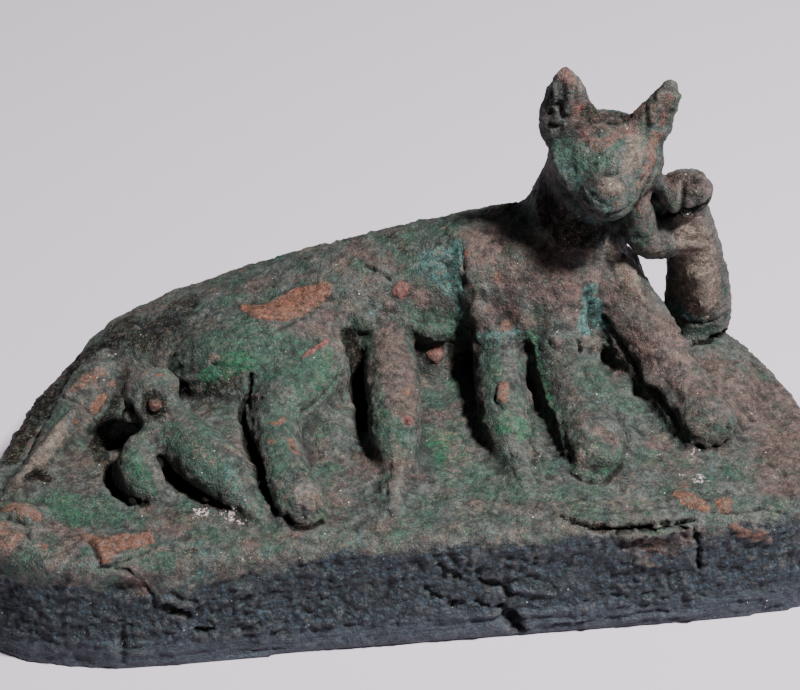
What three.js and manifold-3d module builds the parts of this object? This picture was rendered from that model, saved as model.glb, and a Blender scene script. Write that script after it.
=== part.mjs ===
// A reclining bronze cat with four kittens on a rounded slab plinth, cast in one piece.
// Two kittens suckle at the belly, one crouches by the tail and one stands up against the mother's cheek.
// Millimetres, +Z up. X runs along the plinth towards the head, and the paws point to -Y.
// The origin is the middle of the flat underside.

import * as THREE from 'three';
import Module from 'manifold-3d';
import { mergeVertices } from 'three/addons/utils/BufferGeometryUtils.js';

const wasm = await Module();
wasm.setup();

// Driving dimensions of the plinth: its height, how far its foot stands out, how round its top edge is,
// and how much its top swells in the middle.
const PLINTH_HEIGHT = 16;
const PLINTH_FOOT_FLARE = 1.2;
const PLINTH_EDGE_ROUNDING = 1.6;
const PLINTH_TOP_SWELL = 0.4;
const OUTLINE_SEGMENTS = 56;

// How much the lower half of a limb widens where it runs out into the ground.
const TRUNK_FLARE = 0.4;
const KITTEN_FLARE = 0.25;
const LEG_FLARE = 0.4;
const TAIL_FLARE = 0.5;

// The angles of the two rings that round off each end of a limb.
const CAP_ANGLES = [Math.PI / 3, Math.PI / 6];

const BRONZE = { color: 0x4a5a48, roughness: 0.82, metalness: 0.25 };

const UP = new THREE.Vector3(0, 0, 1);
const FRONT = new THREE.Vector3(0, -1, 0);

// One station of a limb: its middle, its half width across and its half height.
const at = (x, y, z, across, up = across) => ({ point: new THREE.Vector3(x, y, z), across, up });

// Skins a stack of rings into one closed geometry, with a pole point at each end.
function skin(firstPole, rings, lastPole) {
  const sides = rings[0].length;
  const positions = [firstPole, ...rings.flat(), lastPole].flatMap((p) => [p.x, p.y, p.z]);
  const last = 1 + rings.length * sides;
  const index = [];
  for (let side = 0; side < sides; side += 1) {
    const next = (side + 1) % sides;
    index.push(0, 1 + next, 1 + side);
    for (let ring = 0; ring + 1 < rings.length; ring += 1) {
      const low = 1 + ring * sides;
      const high = low + sides;
      index.push(low + side, low + next, high + next, low + side, high + next, high + side);
    }
    index.push(last, last - sides + side, last - sides + next);
  }
  const geometry = new THREE.BufferGeometry();
  geometry.setAttribute('position', new THREE.Float32BufferAttribute(positions, 3));
  geometry.setIndex(index);
  return geometry;
}

// A limb: an oval section swept along a smooth line through its stations, with round ends.
// The section's height lies as near to `hint` as the line lets it, and `flare` widens its lower half,
// so that a limb lying on the ground runs out into it.
function limb(stations, { sides = 10, steps = 2, hint = UP, blunt = 1, flare = 0 } = {}) {
  const line = new THREE.CatmullRomCurve3(stations.map((s) => s.point));
  const sizes = new THREE.CatmullRomCurve3(stations.map((s) => new THREE.Vector3(s.across, s.up, 0)));
  const ringAt = (t, along, shrink) => {
    const tangent = line.getTangent(t);
    const across = hint.clone().cross(tangent).normalize();
    const up = tangent.clone().cross(across);
    const size = sizes.getPoint(t);
    const middle = line.getPoint(t).addScaledVector(tangent, along);
    return Array.from({ length: sides }, (_, side) => {
      const turn = (2 * Math.PI * side) / sides;
      const spread = 1 + flare * Math.max(0, -Math.sin(turn));
      return middle
        .clone()
        .addScaledVector(across, size.x * shrink * spread * Math.cos(turn))
        .addScaledVector(up, size.y * shrink * Math.sin(turn));
    });
  };
  const reach = (station) => Math.min(station.across, station.up) * blunt;
  const startReach = reach(stations[0]);
  const endReach = reach(stations.at(-1));
  const spans = (stations.length - 1) * steps;
  const rings = [
    ...CAP_ANGLES.map((angle) => ringAt(0, -startReach * Math.sin(angle), Math.cos(angle))),
    ...Array.from({ length: spans + 1 }, (_, i) => ringAt(i / spans, 0, 1)),
    ...CAP_ANGLES.toReversed().map((angle) => ringAt(1, endReach * Math.sin(angle), Math.cos(angle))),
  ];
  const startPole = line.getPoint(0).addScaledVector(line.getTangent(0), -startReach);
  const endPole = line.getPoint(1).addScaledVector(line.getTangent(1), endReach);
  return skin(startPole, rings, endPole);
}

// An egg: a sphere scaled to its half sizes, turned about Z and put in place.
function egg([x, y, z], [halfX, halfY, halfZ], turn = 0, width = 14, height = 10) {
  return new THREE.SphereGeometry(1, width, height)
    .rotateX(Math.PI / 2)
    .scale(halfX, halfY, halfZ)
    .rotateZ(THREE.MathUtils.degToRad(turn))
    .translate(x, y, z);
}

// Turns a closed geometry into a solid that can be joined and cut.
function solid(geometry) {
  const bare = geometry.clone();
  bare.deleteAttribute('normal');
  bare.deleteAttribute('uv');
  const merged = mergeVertices(bare, 1e-4);
  return new wasm.Manifold(
    new wasm.Mesh({
      numProp: 3,
      vertProperties: merged.attributes.position.array,
      triVerts: new Uint32Array(merged.index.array),
    }),
  );
}

const join = (geometries) => geometries.map(solid).reduce((whole, piece) => whole.add(piece));

// The plinth: a rounded slab with a straight front, a bowed back and a foot that flares a little.
function plinth() {
  const plan = [
    [-38, -27.3], [-14, -26.8], [12, -26.8], [38, -27], [49, -25.4], [54.4, -19.5], [53.4, -10],
    [51.2, 2], [46.8, 12.4], [37, 20.4], [22, 25.8], [2, 27.3], [-20, 26.2], [-36, 21.6],
    [-45.4, 12.2], [-51, -1.5], [-54.8, -12], [-52.2, -22.4],
  ].map(([x, y]) => new THREE.Vector3(x, y, 0));
  const outline = new THREE.CatmullRomCurve3(plan, true).getPoints(OUTLINE_SEGMENTS).slice(0, -1);
  const grown = (z, grow) =>
    outline.map((p) => {
      const length = Math.hypot(p.x, p.y);
      return new THREE.Vector3(p.x * (1 + grow / length), p.y * (1 + grow / length), z);
    });
  // Each level is its height and how far it stands out from the plan.
  const levels = [
    [0, PLINTH_FOOT_FLARE],
    [0.25 * PLINTH_HEIGHT, 0.7 * PLINTH_FOOT_FLARE],
    [0.55 * PLINTH_HEIGHT, 0],
    [PLINTH_HEIGHT - PLINTH_EDGE_ROUNDING, 0],
    [PLINTH_HEIGHT - 0.3 * PLINTH_EDGE_ROUNDING, -0.45 * PLINTH_EDGE_ROUNDING],
    [PLINTH_HEIGHT, -1.3 * PLINTH_EDGE_ROUNDING],
  ].map(([z, grow]) => grown(z, grow));
  return skin(new THREE.Vector3(), levels, new THREE.Vector3(0, 0, PLINTH_HEIGHT + PLINTH_TOP_SWELL));
}

// The mother's trunk from the rump to the shoulders, her neck, haunch, legs and tail.
function motherBody() {
  const trunk = [
    at(-41, 12.2, 15.4, 3.4, 2.2),
    at(-35, 14, 16.4, 8, 4.2),
    at(-27, 14.6, 17.2, 11, 6),
    at(-17, 15.4, 18.8, 11.2, 7.4),
    at(-5, 16.6, 20.9, 9.9, 8.5),
    at(6, 17.1, 22.6, 9.5, 9.1),
    at(15, 15.6, 24, 10.5, 10.3),
    at(23, 12.8, 25, 11.4, 10.8),
    at(28.2, 11.6, 23.6, 7.6, 8),
  ];
  const neck = [
    at(23, 14.6, 27, 8.4, 9.6),
    at(24.7, 14.2, 33, 7.3, 8.4),
    at(25.3, 13.6, 38, 5.9, 7),
    at(26.5, 12.4, 44.4, 5.7, 5.4),
  ];
  const hindLeg = [
    at(-13.6, 10, 19, 8, 6.4),
    at(-12.8, 5.4, 19.4, 7.4, 5.6),
    at(-13.8, 0.4, 19.2, 5.6, 4.5),
    at(-16.4, -5.4, 18.4, 3.7, 3.6),
    at(-16.3, -13, 17.6, 3.1, 3.2),
    at(-14.7, -19, 17.3, 3.4, 2.9),
  ];
  const lowForeleg = [
    at(21.2, 6.6, 24.6, 5, 5.6),
    at(22.2, 0.4, 19.8, 4.6, 4.4),
    at(23, -6.6, 17.4, 4, 3),
    at(23.6, -12.4, 17.3, 4, 3.2),
  ];
  const highForeleg = [
    at(28.4, 9.4, 26.8, 4.8, 5.4),
    at(32, 4.8, 22.8, 4.6, 5.2),
    at(35.2, -0.4, 19.4, 4.1, 4.1),
    at(37.2, -6.2, 17.8, 3.7, 3.3),
    at(38.5, -10.2, 17.8, 3.9, 3.5),
  ];
  const tail = [
    at(-37, 12, 17, 3.6, 2.6),
    at(-40.6, 7.4, 16.7, 3, 2.1),
    at(-43, 0.8, 16.5, 2.7, 1.8),
    at(-46, -6, 16.4, 2.1, 1.5),
    at(-49.2, -11, 16.3, 1, 0.8),
  ];
  return [
    limb(trunk, { sides: 21, blunt: 0.8, flare: TRUNK_FLARE }),
    limb(neck, { sides: 16, hint: FRONT }),
    egg([-16.8, 8.2, 18.4], [13, 9.6, 8], 6, 20, 12),
    limb(hindLeg, { sides: 14, flare: LEG_FLARE }),
    limb(lowForeleg, { sides: 12, flare: LEG_FLARE }),
    limb(highForeleg, { sides: 14, flare: LEG_FLARE }),
    limb(tail, { sides: 10, flare: TAIL_FLARE }),
  ];
}

// The mother's head: a wedge that faces the front, turned a little to her right, with its ears up.
function motherHead() {
  const skull = [
    at(28.2, 14.8, 45, 5, 4.6),
    at(27.9, 12.4, 45.8, 6.8, 5),
    at(27.5, 9.8, 46, 7.4, 5.1),
    at(27.1, 7.4, 45.6, 6.8, 4.9),
    at(26.8, 5.4, 44.8, 5.2, 4.2),
    at(26.6, 4, 44.4, 4, 3.5),
  ];
  const noseBridge = [
    at(27.2, 9.4, 49.9, 2.8, 1.6),
    at(26.9, 6, 48.9, 2.2, 1.5),
    at(26.6, 3.2, 46.7, 1.7, 1.2),
  ];
  const leftEar = [
    at(24.4, 11.2, 47.4, 3.6, 2.6),
    at(22.7, 10.8, 51, 3.7, 2.3),
    at(22.1, 10.5, 54.2, 3.2, 1.8),
    at(21.9, 10.3, 56.8, 2.5, 1.3),
    at(21.7, 10.2, 58.3, 1.4, 0.9),
  ];
  const rightEar = [
    at(31.2, 11.2, 47, 3.2, 2.4),
    at(33.2, 10.8, 50.2, 3, 2.1),
    at(34.4, 10.5, 52.8, 2.3, 1.6),
    at(35.1, 10.3, 54.8, 1.6, 1.3),
    at(35.3, 10.2, 55.8, 1, 0.9),
  ];
  return [
    limb(skull, { sides: 20, blunt: 0.7 }),
    egg([26.5, 3.2, 44.1], [3.4, 2.8, 2.8], -8, 14, 10),
    limb(noseBridge, { sides: 8, steps: 1 }),
    limb(leftEar, { sides: 12, hint: FRONT }),
    limb(rightEar, { sides: 12, hint: FRONT }),
  ];
}

// The hollows in the fronts of the mother's ears.
const earHollows = () => [
  egg([21.1, 7.6, 53.6], [1.9, 1.9, 3.8], -12, 10, 8),
  egg([35, 8, 52], [1.4, 1.5, 2.9], 12, 10, 8),
];

// A kitten: a trunk and a head, and any free legs, lumps and tail.
function kitten({ trunk, skull, lumps = [], legs = [], tail = [], hint = UP }) {
  return [
    limb(trunk, { sides: 12, hint, flare: hint === UP ? KITTEN_FLARE : 0 }),
    egg(skull.slice(0, 3), skull.slice(3), 0, 12, 9),
    ...lumps.map((lump) => egg(lump.slice(0, 3), lump.slice(3), 0, 9, 6)),
    ...legs.map((leg) => limb(leg, { sides: 8, hint })),
    ...(tail.length ? [limb(tail, { sides: 8, flare: TAIL_FLARE })] : []),
  ];
}

const kittenByTheTail = () =>
  kitten({
    trunk: [
      at(-30.4, -5, 19.8, 3.5, 3.6),
      at(-27.8, -9, 19, 3.7, 3.7),
      at(-24.8, -12.4, 18.4, 4, 3.6),
      at(-22.2, -16, 17.6, 3, 2.8),
    ],
    skull: [-32, -4.2, 22, 4, 3.8, 3.6],
    lumps: [[-31.4, -6.6, 24, 1.6, 1.4, 1.2]],
    legs: [
      [at(-31.9, -8.4, 20, 2.3), at(-34.2, -11.2, 18.6, 2.8), at(-33.3, -14.4, 17.6, 2.7, 2.3)],
      [at(-22, -16.2, 17.2, 2), at(-19.6, -20.2, 16.4, 1.5, 1.2)],
    ],
  });

const firstSuckling = () =>
  kitten({
    trunk: [
      at(-0.8, 6.6, 20.5, 3.2),
      at(-1, -0.4, 19.8, 3.5),
      at(-1.3, -6.1, 19, 3.6, 3.4),
      at(-1.6, -11, 17.8, 2.9, 2.6),
      at(-2, -14.1, 16.8, 1.6, 1.3),
    ],
    skull: [-0.8, 9.3, 21.6, 3.4, 3.6, 3.4],
    lumps: [[-3.4, 8.8, 22.4, 1.4, 1.5, 1.4], [2.4, 9, 22.2, 1.3, 1.4, 1.3]],
    tail: [at(-2, -13.7, 16.8, 1.6, 1.2), at(-2.7, -17.5, 16.3, 1.5, 1.1), at(-3.4, -21, 16.2, 1.3, 1)],
  });

const secondSuckling = () =>
  kitten({
    trunk: [
      at(13.4, 4.7, 20.6, 3.1),
      at(13.1, -1, 19.7, 3.4),
      at(12.8, -6.5, 18.8, 3.3),
      at(13, -10.6, 17.6, 2.8, 2.4),
      at(13.4, -13.8, 16.7, 1.8, 1.4),
    ],
    skull: [13.2, 7.4, 22.4, 3.5, 3.6, 3.5],
    lumps: [[11.2, 9.4, 23.6, 1.5, 1.5, 1.4], [16.2, 6.8, 20.8, 1.5, 2.2, 1.8]],
    tail: [at(13.4, -13.8, 16.5, 1.8, 1.2), at(13.7, -19, 15.9, 1.4, 1)],
  });

const standingKitten = () =>
  kitten({
    hint: FRONT,
    trunk: [
      at(41.3, 9.8, 18.8, 4.2, 3.8),
      at(41.3, 9.8, 23.4, 4.5, 4.1),
      at(40.4, 9.8, 29, 3.9, 3.7),
      at(39.3, 9.2, 34.2, 3.3, 3.2),
      at(38.5, 8.8, 38.6, 2.8, 2.6),
    ],
    skull: [37.8, 7.8, 41.6, 3.6, 3.2, 2.8],
    lumps: [
      [37, 5.8, 41, 1.9, 1.5, 1.8],
      [35.4, 7.6, 41.8, 1.3, 1.6, 1.8],
      [35.2, 10.4, 39, 2.4, 2, 2.8],
    ],
    legs: [
      [
        at(39.8, 8.8, 35.2, 2.7),
        at(36.8, 8, 35, 3),
        at(33.5, 7.4, 34.7, 2.7),
        at(31.7, 7.2, 37.6, 2.4),
        at(31.1, 6.8, 41, 1.9),
      ],
      [at(36, 8, 42.4, 1.3), at(33, 8, 43.2, 1.2)],
    ],
    tail: [at(42.2, 12.6, 19, 1.8, 1.6), at(41.8, 15, 17.2, 1.6, 1.4), at(38.4, 17, 16.7, 1.3, 1.1)],
  });

// Swells of the ground into which the legs run out: between the forelegs, beyond them, and on both
// sides of the hind leg.
const groundSwells = () => [
  egg([27.5, 3, 15.2], [6.5, 11.5, 3.6], 0, 14, 8),
  egg([39.5, 3, 15.4], [8.8, 12, 4], 8, 14, 8),
  egg([-10, 1.5, 15.2], [5.5, 12, 3.8], 0, 14, 8),
  egg([-23, -4, 15.2], [10, 12.5, 4.2], 0, 14, 8),
];

// Lumps of corrosion crust that stand on the plinth's left front corner.
const crustLumps = () => [
  egg([-49.6, -19.4, 15.6], [4.6, 4, 1.8], 12, 10, 8),
  egg([-41, -22.6, 15.4], [4, 2.6, 1.2], -6, 10, 8),
];

// Chips broken out of the plinth's upper front edge.
const chips = () => [
  egg([-39, -28.6, 12.6], [5.4, 2, 1.5], 14, 10, 8),
  egg([-26, -29.2, 8], [5, 2.2, 2], 0, 10, 8),
  egg([25, -28.2, 13.4], [9, 1.8, 1.2], 0, 10, 8),
  egg([10, -29.4, 3], [2.6, 2.2, 2.6], 0, 10, 8),
];

const whole = join([
  plinth(),
  ...motherBody(),
  ...motherHead(),
  ...kittenByTheTail(),
  ...firstSuckling(),
  ...secondSuckling(),
  ...standingKitten(),
  ...groundSwells(),
  ...crustLumps(),
]).subtract(join([...earHollows(), ...chips()]));

// The solid as a geometry, with flat faces.
function toGeometry(manifold) {
  const { vertProperties, triVerts } = manifold.getMesh();
  const geometry = new THREE.BufferGeometry();
  geometry.setAttribute('position', new THREE.BufferAttribute(new Float32Array(vertProperties), 3));
  geometry.setIndex(new THREE.BufferAttribute(new Uint32Array(triVerts), 1));
  geometry.computeVertexNormals();
  return geometry;
}

const casting = new THREE.Mesh(toGeometry(whole), new THREE.MeshStandardMaterial(BRONZE));
casting.name = 'cat_with_kittens';

const group = new THREE.Group();
group.add(casting);

export default group;
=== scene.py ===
"""A corroded bronze statuette: a reclining cat with four kittens on a slab plinth.

The cat, the kittens and the plinth are one casting, so one piece stands for the one CAD node. Its mesh
starts from the node's own solid. Lumps are added, the whole is made smooth, relief is raised and cut,
and the finish is laid on in layers of patina, some of which also carry painted shade, painted shadow and
painted light. Marks that show in the photograph are placed by named dots in its frame, which are sighted
onto the solid. Lengths are millimetres unless a name says otherwise.
"""

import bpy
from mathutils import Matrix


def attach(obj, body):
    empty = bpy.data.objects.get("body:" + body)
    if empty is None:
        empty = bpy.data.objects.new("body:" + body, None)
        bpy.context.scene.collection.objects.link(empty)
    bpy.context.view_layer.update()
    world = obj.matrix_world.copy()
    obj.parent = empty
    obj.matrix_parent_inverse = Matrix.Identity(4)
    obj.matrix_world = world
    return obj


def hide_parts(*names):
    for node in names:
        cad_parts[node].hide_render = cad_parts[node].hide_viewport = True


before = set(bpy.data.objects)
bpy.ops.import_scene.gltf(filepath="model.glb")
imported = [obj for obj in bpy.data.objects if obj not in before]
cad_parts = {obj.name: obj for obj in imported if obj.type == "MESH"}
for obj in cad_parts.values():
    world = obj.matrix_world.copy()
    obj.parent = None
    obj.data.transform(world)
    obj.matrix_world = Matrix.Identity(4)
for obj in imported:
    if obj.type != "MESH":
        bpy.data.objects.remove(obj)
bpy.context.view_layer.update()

import itertools
import logging
import math
from dataclasses import dataclass, field
from enum import Enum

import bmesh
import bpy
import numpy as np
from mathutils import Matrix, Vector
from mathutils.bvhtree import BVHTree

LOG = logging.getLogger("bronze_cat")

MM = 0.001
CAD_NODE = "cat_with_kittens"
BODY = "root"
SLOT = "corroded_bronze"
PIECE_NAME = "cast_cat_with_kittens"

RIM_HEIGHT = 15.7
FOOT_BAND = 4.6
# soft edge of the sooty strokes, which are dirt in some places and painted shadow in others
SOOT_AND_SHADE_EDGE = 0.4

SRGB_KNEE = 0.04045
SRGB_SLOPE = 12.92
SRGB_OFFSET = 0.055
SRGB_POWER = 2.4

Dot = tuple[float, ...]
Span = tuple[float, float]
Colour = tuple[int, int, int]


def ease(value: np.ndarray, low: float, high: float) -> np.ndarray:
    """Rises smoothly from 0 at low to 1 at high.

    Args:
        value: The numbers to shape.
        low: Where the rise starts. It may be above high, which makes it a fall.
        high: Where it ends.

    Returns:
        Numbers from 0 to 1.
    """
    share = np.clip((value - low) / (high - low), 0.0, 1.0)
    return share * share * (3.0 - 2.0 * share)


def linear(colour: Colour) -> tuple[float, float, float, float]:
    """A colour given as 0 to 255 on screen, as the linear values that a shader takes."""
    parts = [part / 255 for part in colour]
    red, green, blue = (
        part / SRGB_SLOPE if part <= SRGB_KNEE else ((part + SRGB_OFFSET) / (1 + SRGB_OFFSET)) ** SRGB_POWER
        for part in parts
    )
    return (red, green, blue, 1.0)


class Grain:
    """Repeatable noise in space, worked out for many points at once."""

    AXIS_FACTORS = (73856093, 19349663, 83492791)
    SEED_FACTOR = 2654435761
    MIX_FACTOR = 1274126177
    TEN_BITS = 1023
    WAVE_GAIN = 1.7
    OCTAVE_SHARE = 0.55
    JITTER = (0.15, 0.7)
    FAR = 9.0

    @classmethod
    def scramble(cls, cells: np.ndarray, seed: int) -> np.ndarray:
        """A whole number for each cell of a grid, the same one each time.

        Args:
            cells: The cells' whole coordinates, one row each.
            seed: Which of many scrambles.

        Returns:
            One 32-bit number for each cell.
        """
        mixed = np.full(len(cells), seed * cls.SEED_FACTOR % 2**32, np.uint32)
        for axis, factor in enumerate(cls.AXIS_FACTORS):
            mixed ^= cells[:, axis].astype(np.uint32) * np.uint32(factor)
        mixed ^= mixed >> np.uint32(13)
        mixed *= np.uint32(cls.MIX_FACTOR)
        mixed ^= mixed >> np.uint32(16)
        return mixed

    @classmethod
    def vectors(cls, cells: np.ndarray, seed: int) -> np.ndarray:
        """Three numbers from 0 to 1 for each cell."""
        mixed = cls.scramble(cells, seed)
        parts = [(mixed >> np.uint32(shift)) & np.uint32(cls.TEN_BITS) for shift in (0, 10, 20)]
        return np.stack(parts, 1) / cls.TEN_BITS

    @classmethod
    def waves(cls, points: np.ndarray, size: float, seed: int) -> np.ndarray:
        """Smooth noise from about -1 to 1.

        Args:
            points: Where it is wanted, one row each.
            size: The size of one wave.
            seed: Which of many noises.

        Returns:
            One number for each point.
        """
        place = points / size
        base = np.floor(place)
        inside = place - base
        fade = inside**3 * (inside * (inside * 6.0 - 15.0) + 10.0)
        base = base.astype(np.int64)
        total = np.zeros(len(points))
        for corner in itertools.product((0, 1), repeat=3):
            step = np.array(corner)
            slope = cls.vectors(base + step, seed) * 2.0 - 1.0
            weight = np.prod(np.where(step, fade, 1.0 - fade), axis=1)
            total += weight * ((inside - step) * slope).sum(axis=1)
        return total * cls.WAVE_GAIN

    @classmethod
    def rough(cls, points: np.ndarray, size: float, seed: int, octaves: int = 3) -> np.ndarray:
        """Waves with finer waves on them, each octave half as large and about half as high."""
        total = np.zeros(len(points))
        for octave in range(octaves):
            total += cls.waves(points, size / 2**octave, seed + octave) * cls.OCTAVE_SHARE**octave
        return total

    @classmethod
    def pebbles(cls, points: np.ndarray, size: float, seed: int) -> tuple[np.ndarray, np.ndarray]:
        """How far each point is from the nearest and the second nearest of scattered dots.

        Args:
            points: Where it is wanted, one row each.
            size: The usual distance between dots.
            seed: Which of many scatters.

        Returns:
            The two distances in units of size.
        """
        place = points / size
        base = np.floor(place - 0.5).astype(np.int64)
        nearest, second = np.full(len(points), cls.FAR), np.full(len(points), cls.FAR)
        for corner in itertools.product((0, 1), repeat=3):
            cell = base + np.array(corner)
            dot = cell + cls.JITTER[0] + cls.JITTER[1] * cls.vectors(cell, seed)
            away = np.sqrt(((place - dot) ** 2).sum(axis=1))
            second = np.minimum(second, np.maximum(nearest, away))
            nearest = np.minimum(nearest, away)
        return nearest, second


@dataclass(frozen=True)
class Roughness:
    """One noise of the surface: the size of its waves, which of many it is, and its octaves."""

    size: float
    seed: int
    octaves: int = 3

    def at(self, points: np.ndarray) -> np.ndarray:
        """Its height at each point, which is mostly from -1 to 1."""
        return Grain.rough(points, self.size, self.seed, self.octaves)


@dataclass(frozen=True)
class Viewpoint:
    """The photograph's camera, which stands before the statuette and looks down on it."""

    target: tuple[float, float, float] = (0.0, 0.0, 26.0)
    azimuth_deg: float = -6.5
    elevation_deg: float = 36.0
    distance: float = 290.0
    lens: float = 102.06
    sensor: float = 36.0
    photo_width: float = 800.0
    photo_height: float = 690.0

    @property
    def back(self) -> Vector:
        """The direction from the target to the camera."""
        turn = math.radians(self.azimuth_deg)
        lift = math.radians(self.elevation_deg)
        return Vector((math.sin(turn) * math.cos(lift), -math.cos(turn) * math.cos(lift), math.sin(lift)))

    @property
    def eye(self) -> Vector:
        """Where the camera is."""
        return Vector(self.target) + self.back * self.distance

    def ray(self, across: float, down: float) -> Vector:
        """The direction in which the camera sees one place of the photograph.

        Args:
            across: Pixels from the photograph's left edge.
            down: Pixels from its top edge.

        Returns:
            A direction of length one.
        """
        ahead = -self.back
        right = ahead.cross(Vector((0.0, 0.0, 1.0))).normalized()
        up = right.cross(ahead)
        focal = self.lens / self.sensor * self.photo_width
        sideways = right * (across - self.photo_width / 2)
        return (ahead * focal + sideways - up * (down - self.photo_height / 2)).normalized()

    def build(self) -> bpy.types.Object:
        """Adds the camera and makes it the scene's own."""
        data = bpy.data.cameras.new("photo_camera")
        data.lens = self.lens
        data.sensor_width = self.sensor
        camera = bpy.data.objects.new("photo_camera", data)
        camera.location = self.eye * MM
        camera.rotation_mode = "QUATERNION"
        camera.rotation_quaternion = (-self.back).to_track_quat("-Z", "Y")
        bpy.context.scene.collection.objects.link(camera)
        bpy.context.scene.camera = camera
        return camera


class Mark(Enum):
    """What a stroke does to the surface."""

    SWELL = "a low rounded rise"
    BOSS = "a round lump"
    CRUST = "a flat raised layer with a steep edge"
    RING = "a raised ring round a pit"
    CRACK = "a thin cut"
    HOLLOW = "a rounded hollow"
    STAIN = "colour alone"


class Tint(Enum):
    """The kinds of patina, each one a layer of the finish. The sooty and tan layers also carry painted
    shade, painted shadow and painted light.
    """

    WARM = "warm_brown"
    # tan dust in places, and painted light on the surfaces that some strokes brighten
    GREEN = "verdigris"
    VIVID = "vivid_green"
    TEAL = "teal_bloom"
    TAN = "tan_dust_and_painted_light"
    # dark dirt in places, and painted shade and painted shadow where some strokes lay it
    SOOT_AND_SHADE = "soot_and_painted_shade"
    CHARCOAL = "charcoal_side"
    ORANGE = "orange_crust"
    RED = "red_oxide"
    CRYSTAL = "pale_crystals"


@dataclass(frozen=True)
class Stroke:
    """One mark on the surface, drawn as a line of dots.

    A dot is (across, down, radius) with the first two in the photograph's pixels, or
    (x, y, z, radius) for a place that the photograph doesn't show.
    """

    name: str
    mark: Mark
    dots: tuple[Dot, ...]
    height: float = 0.0
    edge: float = 0.4
    tint: Tint | None = None
    strength: float = 1.0
    ragged: float = 0.25


@dataclass(frozen=True)
class Lump:
    """An egg of metal or crust that stands on the surface.

    The place is in the photograph's pixels. The half sizes are along X, Y and Z, and sink is how far
    the egg's middle lies under the surface.
    """

    name: str
    place: tuple[float, float]
    half: tuple[float, float, float]
    sink: float = 0.0
    turn_deg: float = 0.0


def marks(mark: Mark, *rows: tuple) -> tuple[Stroke, ...]:
    """Strokes of one kind.

    Args:
        mark: What they do to the surface.
        *rows: For each stroke its name, its dots and then its other fields in their order.

    Returns:
        The strokes.
    """
    return tuple(Stroke(name, mark, *rest) for name, *rest in rows)


def soot_and_shade_marks(mark: Mark, *rows: tuple) -> tuple[Stroke, ...]:
    """Strokes of one kind darkened with the sooty tint, which is dirt in some of them and painted shadow in
    others.

    Args:
        mark: What they do to the surface.
        *rows: For each stroke its name, its dots, its height, and then its strength and raggedness.

    Returns:
        The strokes.
    """
    return tuple(
        Stroke(name, mark, dots, height, SOOT_AND_SHADE_EDGE, Tint.SOOT_AND_SHADE, *rest) for name, dots, height, *rest in rows
    )


def stains(tint: Tint, *rows: tuple) -> tuple[Stroke, ...]:
    """Strokes that lay one tint down and move nothing.

    Args:
        tint: The patina.
        *rows: For each stroke its name, its dots, its soft edge, and then its strength and raggedness.

    Returns:
        The strokes.
    """
    return tuple(Stroke(name, Mark.STAIN, dots, 0.0, edge, tint, *rest) for name, dots, edge, *rest in rows)


LUMPS = (
    Lump("red ball by the teats", (434.6, 354), (1.15, 1.15, 1.15), -0.55),
    Lump("teat roll over the ball", (438, 330), (3.2, 1.9, 1.7), 0.2, 12),
    Lump("tail tip", (16, 486), (1.5, 1.3, 0.9), 0.1, 30),
    Lump("left suckling's left ear", (364, 322), (1.7, 1.5, 1.4), 0.3),
    Lump("left suckling's right ear", (404, 322), (1.3, 1.3, 1.2), 0.2),
    Lump("right suckling's left ear", (482, 316), (1.7, 1.9, 2.0), 0.0),
    Lump("right suckling's crown", (498, 336), (3.8, 2.8, 3.4), 1.2),
    Lump("right suckling's cheek", (524, 328), (1.6, 1.8, 2.6), 0.6),
    Lump("right suckling's nose", (508, 330), (1.3, 1.3, 1.1), -1.0),
    Lump("low paw's outer toe", (603, 456), (3.0, 2.4, 1.8), 1.0, -10),
    Lump("ground under the teat roll", (437, 364), (4.4, 3.4, 2.2), 0.5),
    Lump("low paw's inner toe", (584, 458), (1.7, 2.0, 1.3), 0.6),
    Lump("flat lump beside the tail", (373, 474), (2.2, 1.9, 0.8), 0.1),
    Lump("orange lump on the corner", (22, 512), (3.6, 2.2, 1.1), 0.5, 8),
    Lump("small orange lump", (42, 547), (1.5, 1.2, 0.9), 0.4),
    Lump("right front boss", (724, 503), (1.9, 1.4, 1.0), 0.4),
    Lump("right front crust", (690, 500), (2.3, 1.6, 0.9), 0.4),
    Lump("crown of the kitten by the tail", (152, 381), (3.6, 2.6, 1.9), 0.7),
    Lump("wart on the elbow", (652, 380), (1.9, 1.6, 1.3), 0.6),
)

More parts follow.
